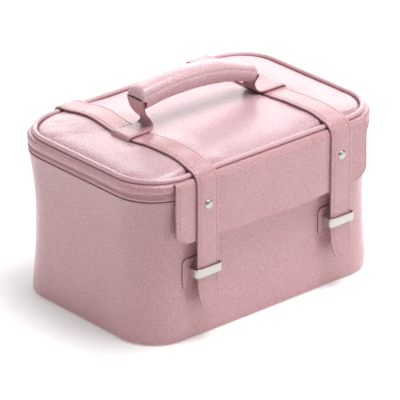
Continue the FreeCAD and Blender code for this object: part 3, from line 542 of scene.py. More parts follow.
# ---------------------------------------------------------------- camera, floor and light
RIGHT, UP, BACK = Vector((0.7516, -0.6596, 0.0)), Vector((0.2775, 0.3162, 0.907)), Vector((-0.598, -0.682, 0.4207))
cam = bpy.data.objects.new("camera", bpy.data.cameras.new("camera"))
cam.data.sensor_width = 36.0
cam.data.lens = 360.0
cam.data.clip_end = 50.0
RIGHT.normalize()
BACK = (BACK - RIGHT * BACK.dot(RIGHT)).normalized()
UP = BACK.cross(RIGHT)
at = (Vector((0, 0, 84.97)) + BACK * 3941 + RIGHT * 0.47 - UP * 3.96) * MM
cam.matrix_world = Matrix(((RIGHT.x, UP.x, BACK.x, at.x), (RIGHT.y, UP.y, BACK.y, at.y), (RIGHT.z, UP.z, BACK.z, at.z), (0, 0, 0, 1)))
scene.collection.objects.link(cam)
scene.camera = cam
scene.view_settings.view_transform = "Standard"

me = bpy.data.meshes.new("floor")
me.from_pydata([(-14, -14, -0.0002), (14, -14, -0.0002), (14, 14, -0.0002), (-14, 14, -0.0002)], [], [(0, 1, 2, 3)])
floor = bpy.data.objects.new("floor", me)
scene.collection.objects.link(floor)
m, nt, b = new_mat("floor")
co = node(nt, "ShaderNodeTexCoord").outputs["Object"]
n = node(nt, "ShaderNodeTexNoise", {"Vector": co, "Scale": 3.0}).outputs["Fac"]
nt.links.new(ramp(nt, n, [(0.3, (0.86, 0.86, 0.86)), (0.7, (0.88, 0.88, 0.88))]), b.inputs["Base Color"])
b.inputs["Roughness"].default_value = 0.9
b.inputs["Specular IOR Level"].default_value = 0.0
b.inputs["Emission Color"].default_value = (1.0, 0.985, 0.985, 1)
b.inputs["Emission Strength"].default_value = 0.29
me.materials.append(m)

world = bpy.data.worlds.new("studio")
world.use_nodes = True
world.node_tree.nodes["Background"].inputs[0].default_value = (1.0, 1.0, 1.0, 1)
world.node_tree.nodes["Background"].inputs[1].default_value = 0.18
scene.world = world


def soft_light(name, place, target, size, power, colour=(1, 1, 1)):
    d = bpy.data.lights.new(name, "AREA")
    d.shape = "RECTANGLE"
    d.size, d.size_y = size
    d.energy = power
    d.color = colour
    o = bpy.data.objects.new(name, d)
    o.location = place
    o.rotation_euler = (Vector(target) - Vector(place)).to_track_quat("-Z", "Y").to_euler()
    scene.collection.objects.link(o)
    return o


soft_light("overhead", (0.3, -0.36, 1.95), (0, 0, 0.1), (1.1, 1.1), 38)
soft_light("behind", (3.1, 3.5, 2.2), (0, 0, 0.15), (6.0, 3.4), 165)
soft_light("front_right", (1.3, -1.7, 0.85), (0, 0, 0.08), (1.2, 1.0), 7)
soft_light("left_back", (-1.7, 0.95, 0.3), (0, 0, 0.06), (1.6, 0.5), 3.2)


# ---------------------------------------------------------------- body: skin, base and lining
FR = ring_frame(56, 28, 18)


def wall(z):
    """Half length and half depth of the skin at height z."""
    k = 3.8 * ((80 - z) / 78.4) ** 2 if z < 80 else 3.7 * ((z - 80) / 72.0) ** 2
    return 149.8 + k, 98.8 + k


def wall_ring(d, z):
    A, B = wall(z)
    return ring(FR, A - d, B - d, 44 - d, z)


prof = [(4.2, 0.45), (2.7, 0.5), (1.5, 0.9), (0.7, 1.8), (0.25, 3.2), (0.03, 5.0)]
prof += [(0.0, z) for z in np.linspace(8, 148, 36)]
prof += [(0.0, 149.6), (0.05, 150.8), (0.22, 151.55), (0.55, 151.95), (0.9, 151.85), (1.12, 151.3), (1.15, 149)]
nout = len(prof)
prof += [(1.15, z) for z in (140, 110, 80, 50, 20, 4.0)] + [(2.6, 1.6), (4.2, 1.2)]
rows = np.array([wall_ring(d, z) for d, z in prof])
nrm = np.tile(np.stack([FR[:, 2], FR[:, 3], np.zeros(len(FR))], 1), (len(prof), 1, 1))
flat = rows.reshape(-1, 3)
lump = (0.5 * noise(flat, 62, 3) + 0.24 * noise(flat * (1, 1, 0.6), 25, 5)).reshape(rows.shape[:2])
zz = rows[:, :, 2]
lump *= step01(2, 22, zz) * step01(152, 138, zz)
lump[nout:] = 0
swell = 0.4 + 1.7 * ((zz - 80) / 72).clip(0, 1) ** 3
swell *= (1 - step01(0.8, 0.97, FR[:, 3]))[None, :] * step01(1.5, 14, zz)
swell *= 1 - 0.7 * step01(68, 54, np.abs(rows[:, :, 1])) * (rows[:, :, 0] > 120)
swell += 1.2 * step01(90, 135, rows[:, :, 0]) * step01(60, 74, np.abs(rows[:, :, 1])) * step01(2, 14, zz) * (1 - step01(0.8, 0.97, FR[:, 3]))[None, :] * step01(150, 120, zz)
swell[nout:] = 0
rows = rows + nrm * (lump + swell)[:, :, None]
# Painted shade and light in the skin's tone. The tucked-under foot, the turned-over top edge and the inside face are
# painted 20 % darker as painted shade. The lowest 9 mm darken by up to 10 % more as painted shade near the floor. The
# wall is painted lighter at its foot and darker near its top (1.05 down to 0.95), standing in for light bounced up from
# the floor.
tone = np.ones(rows.shape[:2])
tone[:3] = 0.8
tone *= 1 - 0.10 * step01(9, 1, zz)
tone[nout - 3:] = 0.8
tone *= 1.05 - 0.1 * step01(30, 145, zz)
g = Geo()
v, f = loft(rows, True, True)
g.add(v, f, 0, tone)
ride(g.make("body_skin", [SKIN]), "case", "leatherette", "body_cover")

g = Geo()
rows = [ring(FR, 149.2 - d, 98.2 - d, 39.6 - d, z) for d, z in ((30, 1.4), (8, 1.4), (0.3, 1.4), (0, 1.0), (0.0, 0.5), (0.2, 0.15), (0.7, 0.0), (12, 0.0), (32, 0.0))]
v, f = loft(rows)
g.add(v, f)
ride(g.make("base_skin", [SKIN]), "case", "leatherette", "base_panel")

prof = [(4.05, 1.8), (4.05, 20), (4.05, 50), (4.05, 80), (4.05, 110), (4.05, 138), (4.05, 146.6), (3.75, 148.4), (3.0, 149.6), (2.75, 150.3), (2.95, 150.9), (3.4, 150.6), (4.0, 149.4), (4.75, 148.0), (5.0, 146)]
prof += [(5.0, z) for z in np.linspace(142, 8, 24)] + [(5.0, 5.4), (5.0, 1.8)]
rows = np.array([wall_ring(d, z) for d, z in prof])
nrm = np.tile(np.stack([FR[:, 2], FR[:, 3], np.zeros(len(FR))], 1), (len(prof), 1, 1))
flat = rows.reshape(-1, 3)
fold = 0.45 * noise(flat * (1, 1, 0.32), 17, 11) + 0.35 * noise(flat * (1, 1, 0.5), 34, 12)
fold = np.abs(fold).reshape(rows.shape[:2]) * step01(149, 140, rows[:, :, 2]) * step01(2, 14, rows[:, :, 2])
fold[:12] = 0
rows -= nrm * fold[:, :, None]
g = Geo()
v, f = loft(rows, True, True)
g.add(v, f, 0)
ride(g.make("body_lining_cloth", [LINING]), "case", "lining", "body_lining")


def cloth_plate(name, A, B, R, z0, z1, up, seed, amp, mat):
    """A thin cloth panel with soft unevenness on the side that shows."""
    insets = [0, 0.25, 2, 5, 9, 14, 20, 27, 35, 43, 51, 59, 67, 75, 83, 90]
    out = []
    for d in insets[::-1]:
        k = min(d, B - 3)
        q = ring(FR, A - k, B - k, max(R - k, 1.5), z1 if up else z0)
        out.append(q)
    out = np.array(out)
    w = amp * (0.6 * noise(out.reshape(-1, 3), 24, seed) + 0.4 * noise(out.reshape(-1, 3), 11, seed + 1)).reshape(out.shape[:2])
    w *= step01(0, 9, np.array(insets[::-1]))[:, None]
    out[:, :, 2] += np.abs(w) * (1 if up else -1)
    edge = [ring(FR, A - d, B - d, R - d, z) for d, z in ((0.0, z0 if up else z1), (3.0, z0 if up else z1))]
    out[-1, :, 2] += -0.25 if up else 0.25
    v, f = loft(np.concatenate([out, np.array(edge)]))
    g = Geo()
    g.add(v, f)
    return g.make(name, [mat])


ride(cloth_plate("base_lining_cloth", 144.5, 93.5, 34.9, 4.15, 5.0, True, 21, 0.6, LINING), "case", "lining", "base_lining")
ride(cloth_plate("lid_lining_cloth", 150.3, 99.3, 40.7, 165.0, 165.8, False, 31, 0.5, LINING), "lid", "lining", "lid_lining")


# ---------------------------------------------------------------- zip: tapes, coils, sliders and pulls
def stand_out(x, y):
    """How far the zip stands out: flush with the skin, but back in its own plane where the sliders run."""
    return 1.9 - 1.9 * step01(68, 54, np.abs(y)) * (x > 120)


def path_band(A, B, R, s, section):
    """section: (outward offset, how much of it follows the stand-out, z) loop carried along the rounded rectangle."""
    p = along(A, B, R, s)
    k = stand_out(p[:, 0], p[:, 1])
    rows = np.array([[(x + nx * (d + q * e), y + ny * (d + q * e), z) for d, e, z in section] for (x, y, nx, ny), q in zip(p, k)])
    return loft(rows)


TA, TB, TR = 151.7, 100.7, 42.2
LEN = 2 * (2 * (TA - TR) + 2 * (TB - TR)) + 2 * math.pi * TR
S = np.linspace(97.0, LEN - 97.0, 420)
lower = [(0, 0, 147.8), (0, 0, 149.5), (0, 0, 151.0), (0, 0.25, 151.9), (0, 1.1, 152.5), (0, 1.65, 152.9), (0, 1.75, 153.6), (0, 1.7, 154.3), (-0.2, 1.7, 154.6), (-0.6, 1.7, 154.6),
         (-0.8, 1.7, 154.3), (-0.8, 1.7, 153.7), (-0.8, 1.2, 153.2), (-0.8, 0.3, 152.6), (-0.8, 0, 151.8), (-0.8, 0, 147.8)]
upper = [(d, e, 312.0 - z) for d, e, z in lower[2:-2]]
upper = [(0, 0, 165.4), (0, 0, 162.6)] + upper + [(-0.8, 0, 160.4), (-0.8, 0, 165.4)]
for name, q, body, node_name in (("lower_tape", lower, "case", "lower_zipper_tape"), ("upper_tape", upper, "lid", "upper_zipper_tape")):
    v, f = path_band(TA, TB, TR, S, q)
    g = Geo()
    g.add(v, f, 0)
    ride(g.make(name, [TAPE]), body, "zip_tape", node_name)

PITCH = 1.5
CA, CB, CR = 151.75, 100.75, 42.25
LEN = 2 * (2 * (CA - CR) + 2 * (CB - CR)) + 2 * math.pi * CR
count = int((LEN - 196) / PITCH)
ss = 98 + PITCH * np.arange(count)
for name, body, node_name, shift in (("lower_coil", "case", "lower_zipper_teeth", 0.0), ("upper_coil", "lid", "upper_zipper_teeth", 0.5)):
    g = Geo()
    pts = along(CA, CB, CR, ss + shift * PITCH)
    for x, y, nx, ny in pts:
        meet = 0.0 if (x > 140 and abs(y) < 52) else 1.0
        out = 1.55 * float(stand_out(x, y))
        x, y = x + nx * out, y + ny * out
        if body == "case":
            z0, z1 = 154.35, 155.55 + 0.6 * meet
        else:
            z0, z1 = 156.45 - 0.6 * meet, 157.65
        tx, ty = -ny, nx
        rows = []
        for u, kd, kw in ((0.0, 0.55, 0.3), (0.12, 0.9, 0.42), (0.5, 0.95, 0.44), (0.88, 0.9, 0.42), (1.0, 0.55, 0.3)):
            z = z0 + (z1 - z0) * u
            rows.append([(x + nx * kd * c + tx * kw * PITCH * s_ * 0.94, y + ny * kd * c + ty * kw * PITCH * s_ * 0.94, z) for c, s_ in ((1, -0.55), (1, 0.55), (0.5, 1), (-0.5, 1), (-1, 0.55), (-1, -0.55), (-0.5, -1), (0.5, -1))])
        v, f = loft(np.array(rows))
        g.add(v, f)
    ride(g.make(name, [COIL], sharp=60), body, "zip_teeth", node_name)

for k, sg in (("a", 1), ("b", -1)):
    g = Geo()
    shape = np.array([(-5.0, -3.1), (-4.2, -3.45), (2.2, -3.3), (4.4, -2.3), (5.0, -1.0), (5.0, 1.0), (4.4, 2.3), (2.2, 3.3), (-4.2, 3.45), (-5.0, 3.1)])
    for x0, x1 in ((153.2, 154.7), (149.2, 150.4)):
        v, f = plate(dense(shape, 1.2), x0, x1, 0.45, lambda a, b, c: (c, sg * (6 + a), 155.75 + b))
        g.add(v, f)
    v, f = plate(rounded(0.8, 1.9, 0.28, 4), 155.72, 156.28, 0.12, lambda a, b, c: (151.8 + b, sg * (9.6 + a), c))
    g.add(v, f)
    bail = smooth_line([(154.5, 158.4), (155.9, 158.5), (157.25, 157.6), (157.45, 156.2), (157.25, 154.8), (155.9, 153.9), (154.5, 154.0)], 0.35)
    P = np.stack([bail[:, 0], np.full(len(bail), sg * 9.6), bail[:, 1]], 1)
    T = np.gradient(P, axis=0)
    T /= np.linalg.norm(T, axis=1)[:, None]
    N = np.cross(T, (0, 1, 0))
    bar = [[p + n_ * 0.42 * math.cos(a) + np.array((0, 1.0, 0)) * math.sin(a) for a in np.linspace(0, 2 * math.pi, 11)[:-1]] for p, n_ in zip(P, N)]
    v, f = loft(np.array(bar))
    g.add(v, f)
    q = [[(156.6 + 0.62 * math.cos(a), sg * y, 156.2 + 0.62 * math.sin(a)) for a in np.linspace(0, 2 * math.pi, 13)[:-1]] for y in (2.4, 3.0, 6.0, 9.0, 9.8)]
    v, f = loft(np.array(q))
    g.add(v, f)
    for y in (2.7,):
        P = smooth_line([(154.5, 157.6), (156.0, 157.5), (156.9, 156.9), (157.0, 156.2), (156.9, 155.5), (156.0, 154.9), (154.5, 154.8)], 0.35)
        P = np.stack([P[:, 0], np.full(len(P), sg * y), P[:, 1]], 1)
        T = np.gradient(P, axis=0)
        T /= np.linalg.norm(T, axis=1)[:, None]
        N = np.cross(T, (0, 1, 0))
        bar = [[p + n_ * 0.4 * math.cos(a) + np.array((0, 0.7, 0)) * math.sin(a) for a in np.linspace(0, 2 * math.pi, 11)[:-1]] for p, n_ in zip(P, N)]
        v, f = loft(np.array(bar))
        g.add(v, f)
    ride(g.make("slider_%s_body" % k, [NICKEL]), "slider_" + k, "nickel", "zip_slider_" + k)

    g = Geo()
    th = np.linspace(0, 2 * math.pi, 25)[:-1]
    eye = [[(156.6 + (1.28 + 0.36 * math.cos(a)) * math.cos(t_), sg * 6 + 1.6 * math.sin(a) * 0.9, 156.2 + (1.28 + 0.36 * math.cos(a)) * math.sin(t_)) for a in np.linspace(0, 2 * math.pi, 11)[:-1]] for t_ in th]
    v, f = loft(np.array(eye), True, True)
    g.add(v, f)
    half = [(1.5, 154.9), (1.7, 152.5), (2.1, 148), (2.7, 141), (3.3, 134), (3.5, 131), (3.2, 129.3), (2.2, 128.3), (0.8, 128.0)]
    out = np.array(half + [(-a, b) for a, b in half[::-1]])
    v, f = plate(dense(out, 1.5), 155.9, 157.3, 0.4, lambda a, b, c: (c, sg * 6 + a, b))
    g.add(v, f)
    inner = np.array([(a * 0.62, 141.5 + (b - 141.5) * 0.72) for a, b in out])
    v, f = plate(dense(inner, 1.5), 157.15, 157.5, 0.15, lambda a, b, c: (c, sg * 6 + a, b))
    g.add(v, f)
    ride(g.make("pull_%s_tab" % k, [NICKEL]), "pull_" + k, "nickel", "zip_pull_" + k)

# soft hinge at the back of the lid
P = smooth_line([(0, 101.6, 147.5), (0, 102.6, 150.2), (0, 103.5, 152.2), (0, 104.0, 155.9), (0, 103.6, 159.4), (0, 102.4, 161.6), (0, 101.4, 164.2)], 0.7)
v, f, tone, info = sweep(P, (1, 0, 0), 95.5, 1.0, groove=False, mids=40)
g = Geo()
g.add(v, f, 0, tone * 0.95)
bridge(g.make("back_hinge_skin", [SKIN]), "case", "lid", (0, 104, 151.5), (0, 104, 160.5), "leatherette", "hinge_strip")


# ---------------------------------------------------------------- lid: rim, piping and padded top
FL = ring_frame(120, 60, 40)
# how far round a corner each place is: 1 in the middle of a corner, 0 on the straights
corner = (np.abs(FL[:, 2] * FL[:, 3]) * 2) ** 0.7
sarc = np.arange(len(FL))
loop = np.array([(0.0, 167.4), (0.06, 168.3), (0.3, 168.6), (0.56, 168.3), (0.79, 167.35), (0.94, 165.9), (1.0, 164.2), (1.0, 162.4), (0.96, 160.8), (0.86, 159.75), (0.7, 159.3), (0.45, 159.3), (0.2, 159.7),
                 (0.05, 160.6), (0.0, 162.5), (0.0, 165.0)])
nxt = np.roll(loop, -1, 0)
loop = np.stack([loop * 0.75 + nxt * 0.25, loop * 0.25 + nxt * 0.75], 1).reshape(-1, 2)
rows = np.array([ring(FL, 152.1 + 3.9 * w, 101.1 + 3.9 * w, 46.1 + 0.4 * w, z) for w, z in loop])
flat = rows.reshape(-1, 3)
bulge = np.tile((loop[:, 0] ** 2)[:, None], (1, len(FL)))
pucker = 0.22 * np.sin(sarc * 0.9 + 2.2 * np.sin(sarc * 0.13)) * corner
soft = 0.45 * noise(flat * (1, 1, 0.3), 30, 41).reshape(rows.shape[:2]) + pucker[None, :]
nrm = np.stack([FL[:, 2], FL[:, 3], np.zeros(len(FL))], 1)
rows += nrm[None] * (bulge * soft)[:, :, None]
g = Geo()
v, f = loft(rows, True, True)
# the rim's band below z 160.2 and its inner side are painted darker (by 12 % and 15 %): painted shade under the bulge
# and at the seams
g.add(v, f, 0, 1.0 - 0.12 * (rows[:, :, 2] < 160.2) - 0.15 * (np.tile(loop[:, 0][:, None], (1, len(FL))) < 0.08))
ride(g.make("rim_skin", [SKIN]), "lid", "leatherette", "lid_rim")

rows = []
for a in np.linspace(0, 2 * math.pi, 23)[:-1]:
    rows.append(((2.7 * math.cos(a)), 171 + 2.7 * math.sin(a)))
# the welt's flange runs down and out into the seam above the rim
k = int(round(22 * 0.82))
rows[k:k] = [(2.2, 168.9), (3.1, 168.2), (3.1, 167.7), (1.2, 167.9)]
rows = np.array([ring(FL, 150 + d, 99 + d, 44 + d, z) for d, z in rows])
wob = 0.1 * noise(rows.reshape(-1, 3), 7, 51).reshape(rows.shape[:2]) + 0.08 * np.sin(sarc * 1.1)[None, :] * corner[None, :]
rows[:, :, 2] += wob
g = Geo()
v, f = loft(rows, True, True)
# the piping is painted 10 % lighter, on top of its paler piping colour: painted highlight
g.add(v, f, 0, 1.1)
ride(g.make("piping_cord", [LIT_WELT], sharp=60), "lid", "leatherette", "lid_piping")

LEFT_TOP = [(-.99, 0), (-.95, 1.2), (-.89, 3.2), (-.81, 5.2), (-.71, 6.2), (-.55, 6.3), (-.36, 5.7), (-.26, 4.4), (-.15, 2.6), (.15, 2.6), (.26, 3.7), (.36, 5.1), (.46, 6.1), (.56, 6.0), (.65, 5.0), (.75, 3.4), (.85, 1.2), (.92, .2)]
RIGHT_TOP = [(-.99, .2), (-.91, 2.2), (-.83, 3.8), (-.75, 4.4), (-.61, 4.1), (-.44, 3.9), (-.34, 3.1), (-.24, 2.2), (-.15, 1.9), (.15, 1.9), (.26, 2.4), (.44, 3.2), (.63, 3.0), (.79, 1.6), (.91, .2)]
TOPS = {-1: [(99 * a, 175.3 + b) for a, b in LEFT_TOP], 1: [(99 * a, 175.3 + b) for a, b in RIGHT_TOP]}


def top_panel():
    """The padded panel: leatherette with some slack at its sewn corners, blown up by its foam."""
    A, B, R = 146.9, 95.9, 41.0
    n_edge = 330
    L = 2 * (2 * (A - R) + 2 * (B - R)) + 2 * math.pi * R
    pts, edges = [], []
    for d in (0.0, 1.3, 3.0, 5.0, 7.3):
        p = along(A, B, R, np.arange(n_edge) / n_edge * L + (0 if d == 0 else d))
        pts += [(x - nx * d, y - ny * d) for x, y, nx, ny in p]
    edges = [(i, (i + 1) % n_edge) for i in range(n_edge)]
    h = 2.7
    for j, y in enumerate(np.arange(-B, B, h * 0.866)):
        for x in np.arange(-A, A, h):
            x += 0.5 * h * (j % 2) + 0.2 * math.sin(j * 1.7 + x)
            if inset(A, B, R, x, y) > 9.2:
                pts.append((x, y))
    vs, _, fs, orig, _, _ = delaunay_2d_cdt([Vector(p) for p in pts], edges, [], 1, 1e-4)
    xy = np.array([(p.x, p.y) for p in vs])
    d = inset(A, B, R, xy[:, 0], xy[:, 1]).clip(0)
    z0 = 169.9 + 6.0 * (1 - np.exp(-d / 6.4))
    border = [0] * n_edge
    for i, o in enumerate(orig):
        for k in o:
            if k < n_edge:
                border[k] = i
    co = np.stack([xy[:, 0], xy[:, 1], z0], 1)
    ang = np.abs(np.stack([np.maximum(np.abs(xy[:, 0]) - (A - R), 0), np.maximum(np.abs(xy[:, 1]) - (B - R), 0)], 1))
    round_ = (2 * ang[:, 0] * ang[:, 1] / np.maximum(ang[:, 0] ** 2 + ang[:, 1] ** 2, 1e-6)) ** 0.6
    me = bpy.data.meshes.new("panel_sim")
    me.from_pydata((co * MM).tolist(), [], [tuple(q) for q in fs])
    o = bpy.data.objects.new("panel_sim", me)
    scene.collection.objects.link(o)
    o.shape_key_add(name="Basis")
    key = o.shape_key_add(name="slack")
    out = np.stack([xy[:, 0] / A, xy[:, 1] / B], 1)
    out /= np.maximum(np.linalg.norm(out, axis=1), 1e-6)[:, None]
    pull = (0.9 + 2.3 * round_) * np.exp(-d / 16) * step01(-1, 1, d + 1)
    rest = co.copy()
    rest[:, :2] += out * pull[:, None]
    rest[:, 2] += 0.15 * noise(np.stack([xy[:, 0], xy[:, 1], 0 * d], 1), 6, 61) * np.exp(-d / 22)
    key.data.foreach_set("co", (rest * MM).astype(np.float32).reshape(-1))
    vg = o.vertex_groups.new(name="sewn")
    vg.add([int(i) for i in np.nonzero(d < 0.6)[0]], 1.0, "REPLACE")
    mod = o.modifiers.new("Cloth", "CLOTH")
    st = mod.settings
    st.quality = 6
    st.mass = 0.25
    st.tension_stiffness = st.compression_stiffness = 18
    st.shear_stiffness = 8
    st.bending_stiffness = 0.25
    st.air_damping = 4
    st.vertex_group_mass = "sewn"
    st.rest_shape_key = key
    st.use_pressure = True
    st.uniform_pressure_force = 3.0
    st.effector_weights.gravity = 0
    mod.collision_settings.use_collision = False
    mod.collision_settings.use_self_collision = False
    mod.point_cache.frame_start = 1
    mod.point_cache.frame_end = 24
    for fr in range(1, 23):
        scene.frame_set(fr)
    ev = o.evaluated_get(bpy.context.evaluated_depsgraph_get()).to_mesh()
    got = np.empty(len(co) * 3, np.float32)
    ev.vertices.foreach_get("co", got)
    got = got.reshape(-1, 3) / MM
    bpy.data.objects.remove(o)
    scene.frame_set(1)
    move = got - co
    print("panel cloth: moved", np.round(move.min(0), 2), np.round(move.max(0), 2), flush=True)
    move[:, :2] = move[:, :2].clip(-0.8, 0.8)
    # the foam holds the middle, so only the slack near the seams and a slight crown stay
    up = move[:, 2]
    fine = up - np.median(up[d > 30])
    up = 1.6 * np.tanh(up / 3.2)
    move[:, 2] = up.clip(-1.4, 1.7)
    co = co + move
    co[:, 2] += 0.25 * noise(np.stack([xy[:, 0], xy[:, 1], 0 * d], 1), 42, 62) * step01(4, 25, d)
    # pressed down under the straps
    for sx, line in TOPS.items():
        q = sorted(line)
        under = np.interp(xy[:, 1], [a for a, b in q], [b - 1.3 for a, b in q]) - 0.2
        mid = 87.0 if sx > 0 else -85.8 + 3.0 * step01(-10, 100, xy[:, 1])
        off = np.abs(xy[:, 0] - mid)
        # the padding swells up to the strap's underside, most of all on the side towards the middle
        co[:, 2] += step01(44, 13.0, off) * np.maximum(under - 0.35 - co[:, 2], 0) * step01(0.8, 4.5, d)
        co[:, 2] -= step01(18.5, 14.0, off) * np.maximum(co[:, 2] - under, 0) * (d > 0.6)
    g = Geo()
    n = len(co)
    low = [ring_pt for ring_pt in (co[border] * (1, 1, 0) + (0, 0, 168.7))]
    v = np.vstack([co, co[border] - (0, 0, 0.6), np.array(low)])
    f = [tuple(q) for q in fs]
    m1, m2 = n, n + n_edge
    for i in range(n_edge):
        j = (i + 1) % n_edge
        f.append((border[i], border[j], m1 + j, m1 + i))
        f.append((m1 + i, m1 + j, m2 + j, m2 + i))
    f.append(tuple(m2 + i for i in range(n_edge)))
    # painted shade: the pad darkens towards its sewn border, by up to 32 %, for the shade in the seam groove, and its
    # down-turned skirt is painted 20 % darker
    tone = np.concatenate([1 - 0.32 * np.exp(-d / 1.3), np.full(2 * n_edge, 0.8)])
    g.add(v, f, 0, tone)
    return g.make("top_pad", [LIT_PAD], sharp=70)


pad = ride(top_panel(), "lid", "padded_leatherette", "lid_top_panel")

# ---------------------------------------------------------------- mirror and its frame
g = Geo()
v, f = plate(dense(rounded(95, 61, 6, 8), 8), 162.8, 164.6, 0.5, lambda a, b, c: (a, b, c))
g.add(v, f)
ride(g.make("mirror_glass", [MIRROR]), "lid", "looking_glass", "mirror")
oo = dense(rounded(95, 61, 7, 9), 4)
d = np.roll(oo, -1, 0) - np.roll(oo, 1, 0)
nn = np.stack([d[:, 1], -d[:, 0]], 1)
nn /= np.linalg.norm(nn, axis=1)[:, None]
sec = [(5.0, 164.6), (5.0, 163.2), (4.8, 162.6), (4.2, 162.1), (3.3, 161.9), (2.5, 162.1), (2.1, 162.1), (1.4, 161.8), (0, 161.7), (-2, 161.75), (-3.8, 162.0), (-4.6, 162.3), (-5.0, 162.7), (-4.6, 162.75), (0.3, 162.75), (0.3, 164.7), (3, 164.8)]
rows = np.array([[(x + nx * q, y + ny * q, z) for x, y, nx, ny in np.hstack([oo, nn])] for q, z in sec])
g = Geo()
v, f = loft(rows, True, True)
g.add(v, f)
line = np.array([(x + nx * 2.3, y + ny * 2.3, 162.0) for x, y, nx, ny in np.hstack([oo, nn])])
line = np.vstack([line, line[:1]])
stitch_line(g, line, np.tile((0, 0, -1.0), (len(line), 1)))
ride(g.make("mirror_surround", [BAND, THREAD]), "lid", "strap_leatherette", "mirror_frame")

# ---------------------------------------------------------------- front flap
path = smooth_line([(-101.6, 168.2), (-103.0, 168.75), (-104.7, 168.5), (-106.0, 167.2), (-106.65, 165.0), (-106.75, 162), (-106.75, 140), (-106.75, 105.2)], 1.3)
P = np.stack([np.zeros(len(path)), path[:, 0], path[:, 1]], 1)
z = path[:, 1]
low = np.maximum(119.0 - z, 0).clip(0, 13.0)
hw = 123.5 - (13.0 - np.sqrt(np.maximum(169.0 - low ** 2, 0)))
hw = np.where(z > 164, hw - 1.6 * step01(164, 169, z), hw)
s = lengths(path)
thick = np.interp(s, [0, 5, 11, 200], [1.5, 1.7, 2.8, 2.8])
v, f, tone, info = sweep(P, (1, 0, 0), hw, thick, ends=(0, 1), mids=44)
v = v.reshape(-1, 3)
x, y, zz = v[:, 0], v[:, 1], v[:, 2]
wgt = step01(152, 106, zz)
ease = step01(76, 40, np.abs(x))
bow = -2.6 * (1 - (np.abs(x) / 118.0) ** 2).clip(0) + 1.3
v[:, 2] += bow * step01(135, 105, zz)
v[:, 1] -= ease * wgt * (1.8 + 0.7 * np.sin(x / 31.0)) + 0.35 * noise(v * (1, 0, 1), 34, 71) * step01(164, 150, zz) * ease
# rounder over its top between the straps
v[:, 1] -= 1.9 * step01(74, 58, np.abs(x)) * step01(168.9, 163.0, zz) * step01(122, 156, zz)
end = np.abs(x) > 101
v[:, 1] -= step01(101, 123, np.abs(x)) * wgt * 0.8 * (v[:, 1] > -200)
g = Geo()
g.add(v, f, 0, tone)
front = zz.copy()
# hem stitches along the lower edge and up both ends
hem = []
for t in np.linspace(0, 1, 160):
    hx = -118.6 + 237.2 * t
    edge = 105.2 if abs(hx) < 110.5 else 119 - math.sqrt(max(13.0 ** 2 - (abs(hx) - 110.5) ** 2, 0)) + 0.0
    bz = edge + 3.4
    e2 = float(step01(76, 40, abs(hx)))
    wg = float(step01(152, 106, bz))
    b2 = -2.6 * max(1 - (abs(hx) / 118.0) ** 2, 0) + 1.3
    yy = -106.75 - 1.42 - e2 * wg * (1.8 + 0.7 * math.sin(hx / 31.0)) - float(step01(101, 123, abs(hx))) * wg * 0.8
    yy -= 0.35 * float(noise([[hx, 0, bz]], 34, 71)[0]) * float(step01(164, 150, bz)) * e2
    hem.append((hx, yy, bz + b2 * float(step01(135, 105, bz))))
stitch_line(g, hem, np.tile((0, -1.0, 0), (len(hem), 1)), r=0.4)
obj = g.make("flap_skin", [SKIN, THREAD, LINING])
# the side towards the body is lined
for pl in obj.data.polygons:
    if pl.material_index == 0 and pl.normal.y > 0.9 and pl.center.z < 0.160:
        pl.material_index = 2
bridge(obj, "lid", "flap", (0, -106.5, 169.2), (0, -106.5, 161.5), "leatherette", "front_flap", "flap_backing", "flap_hinge_strip")

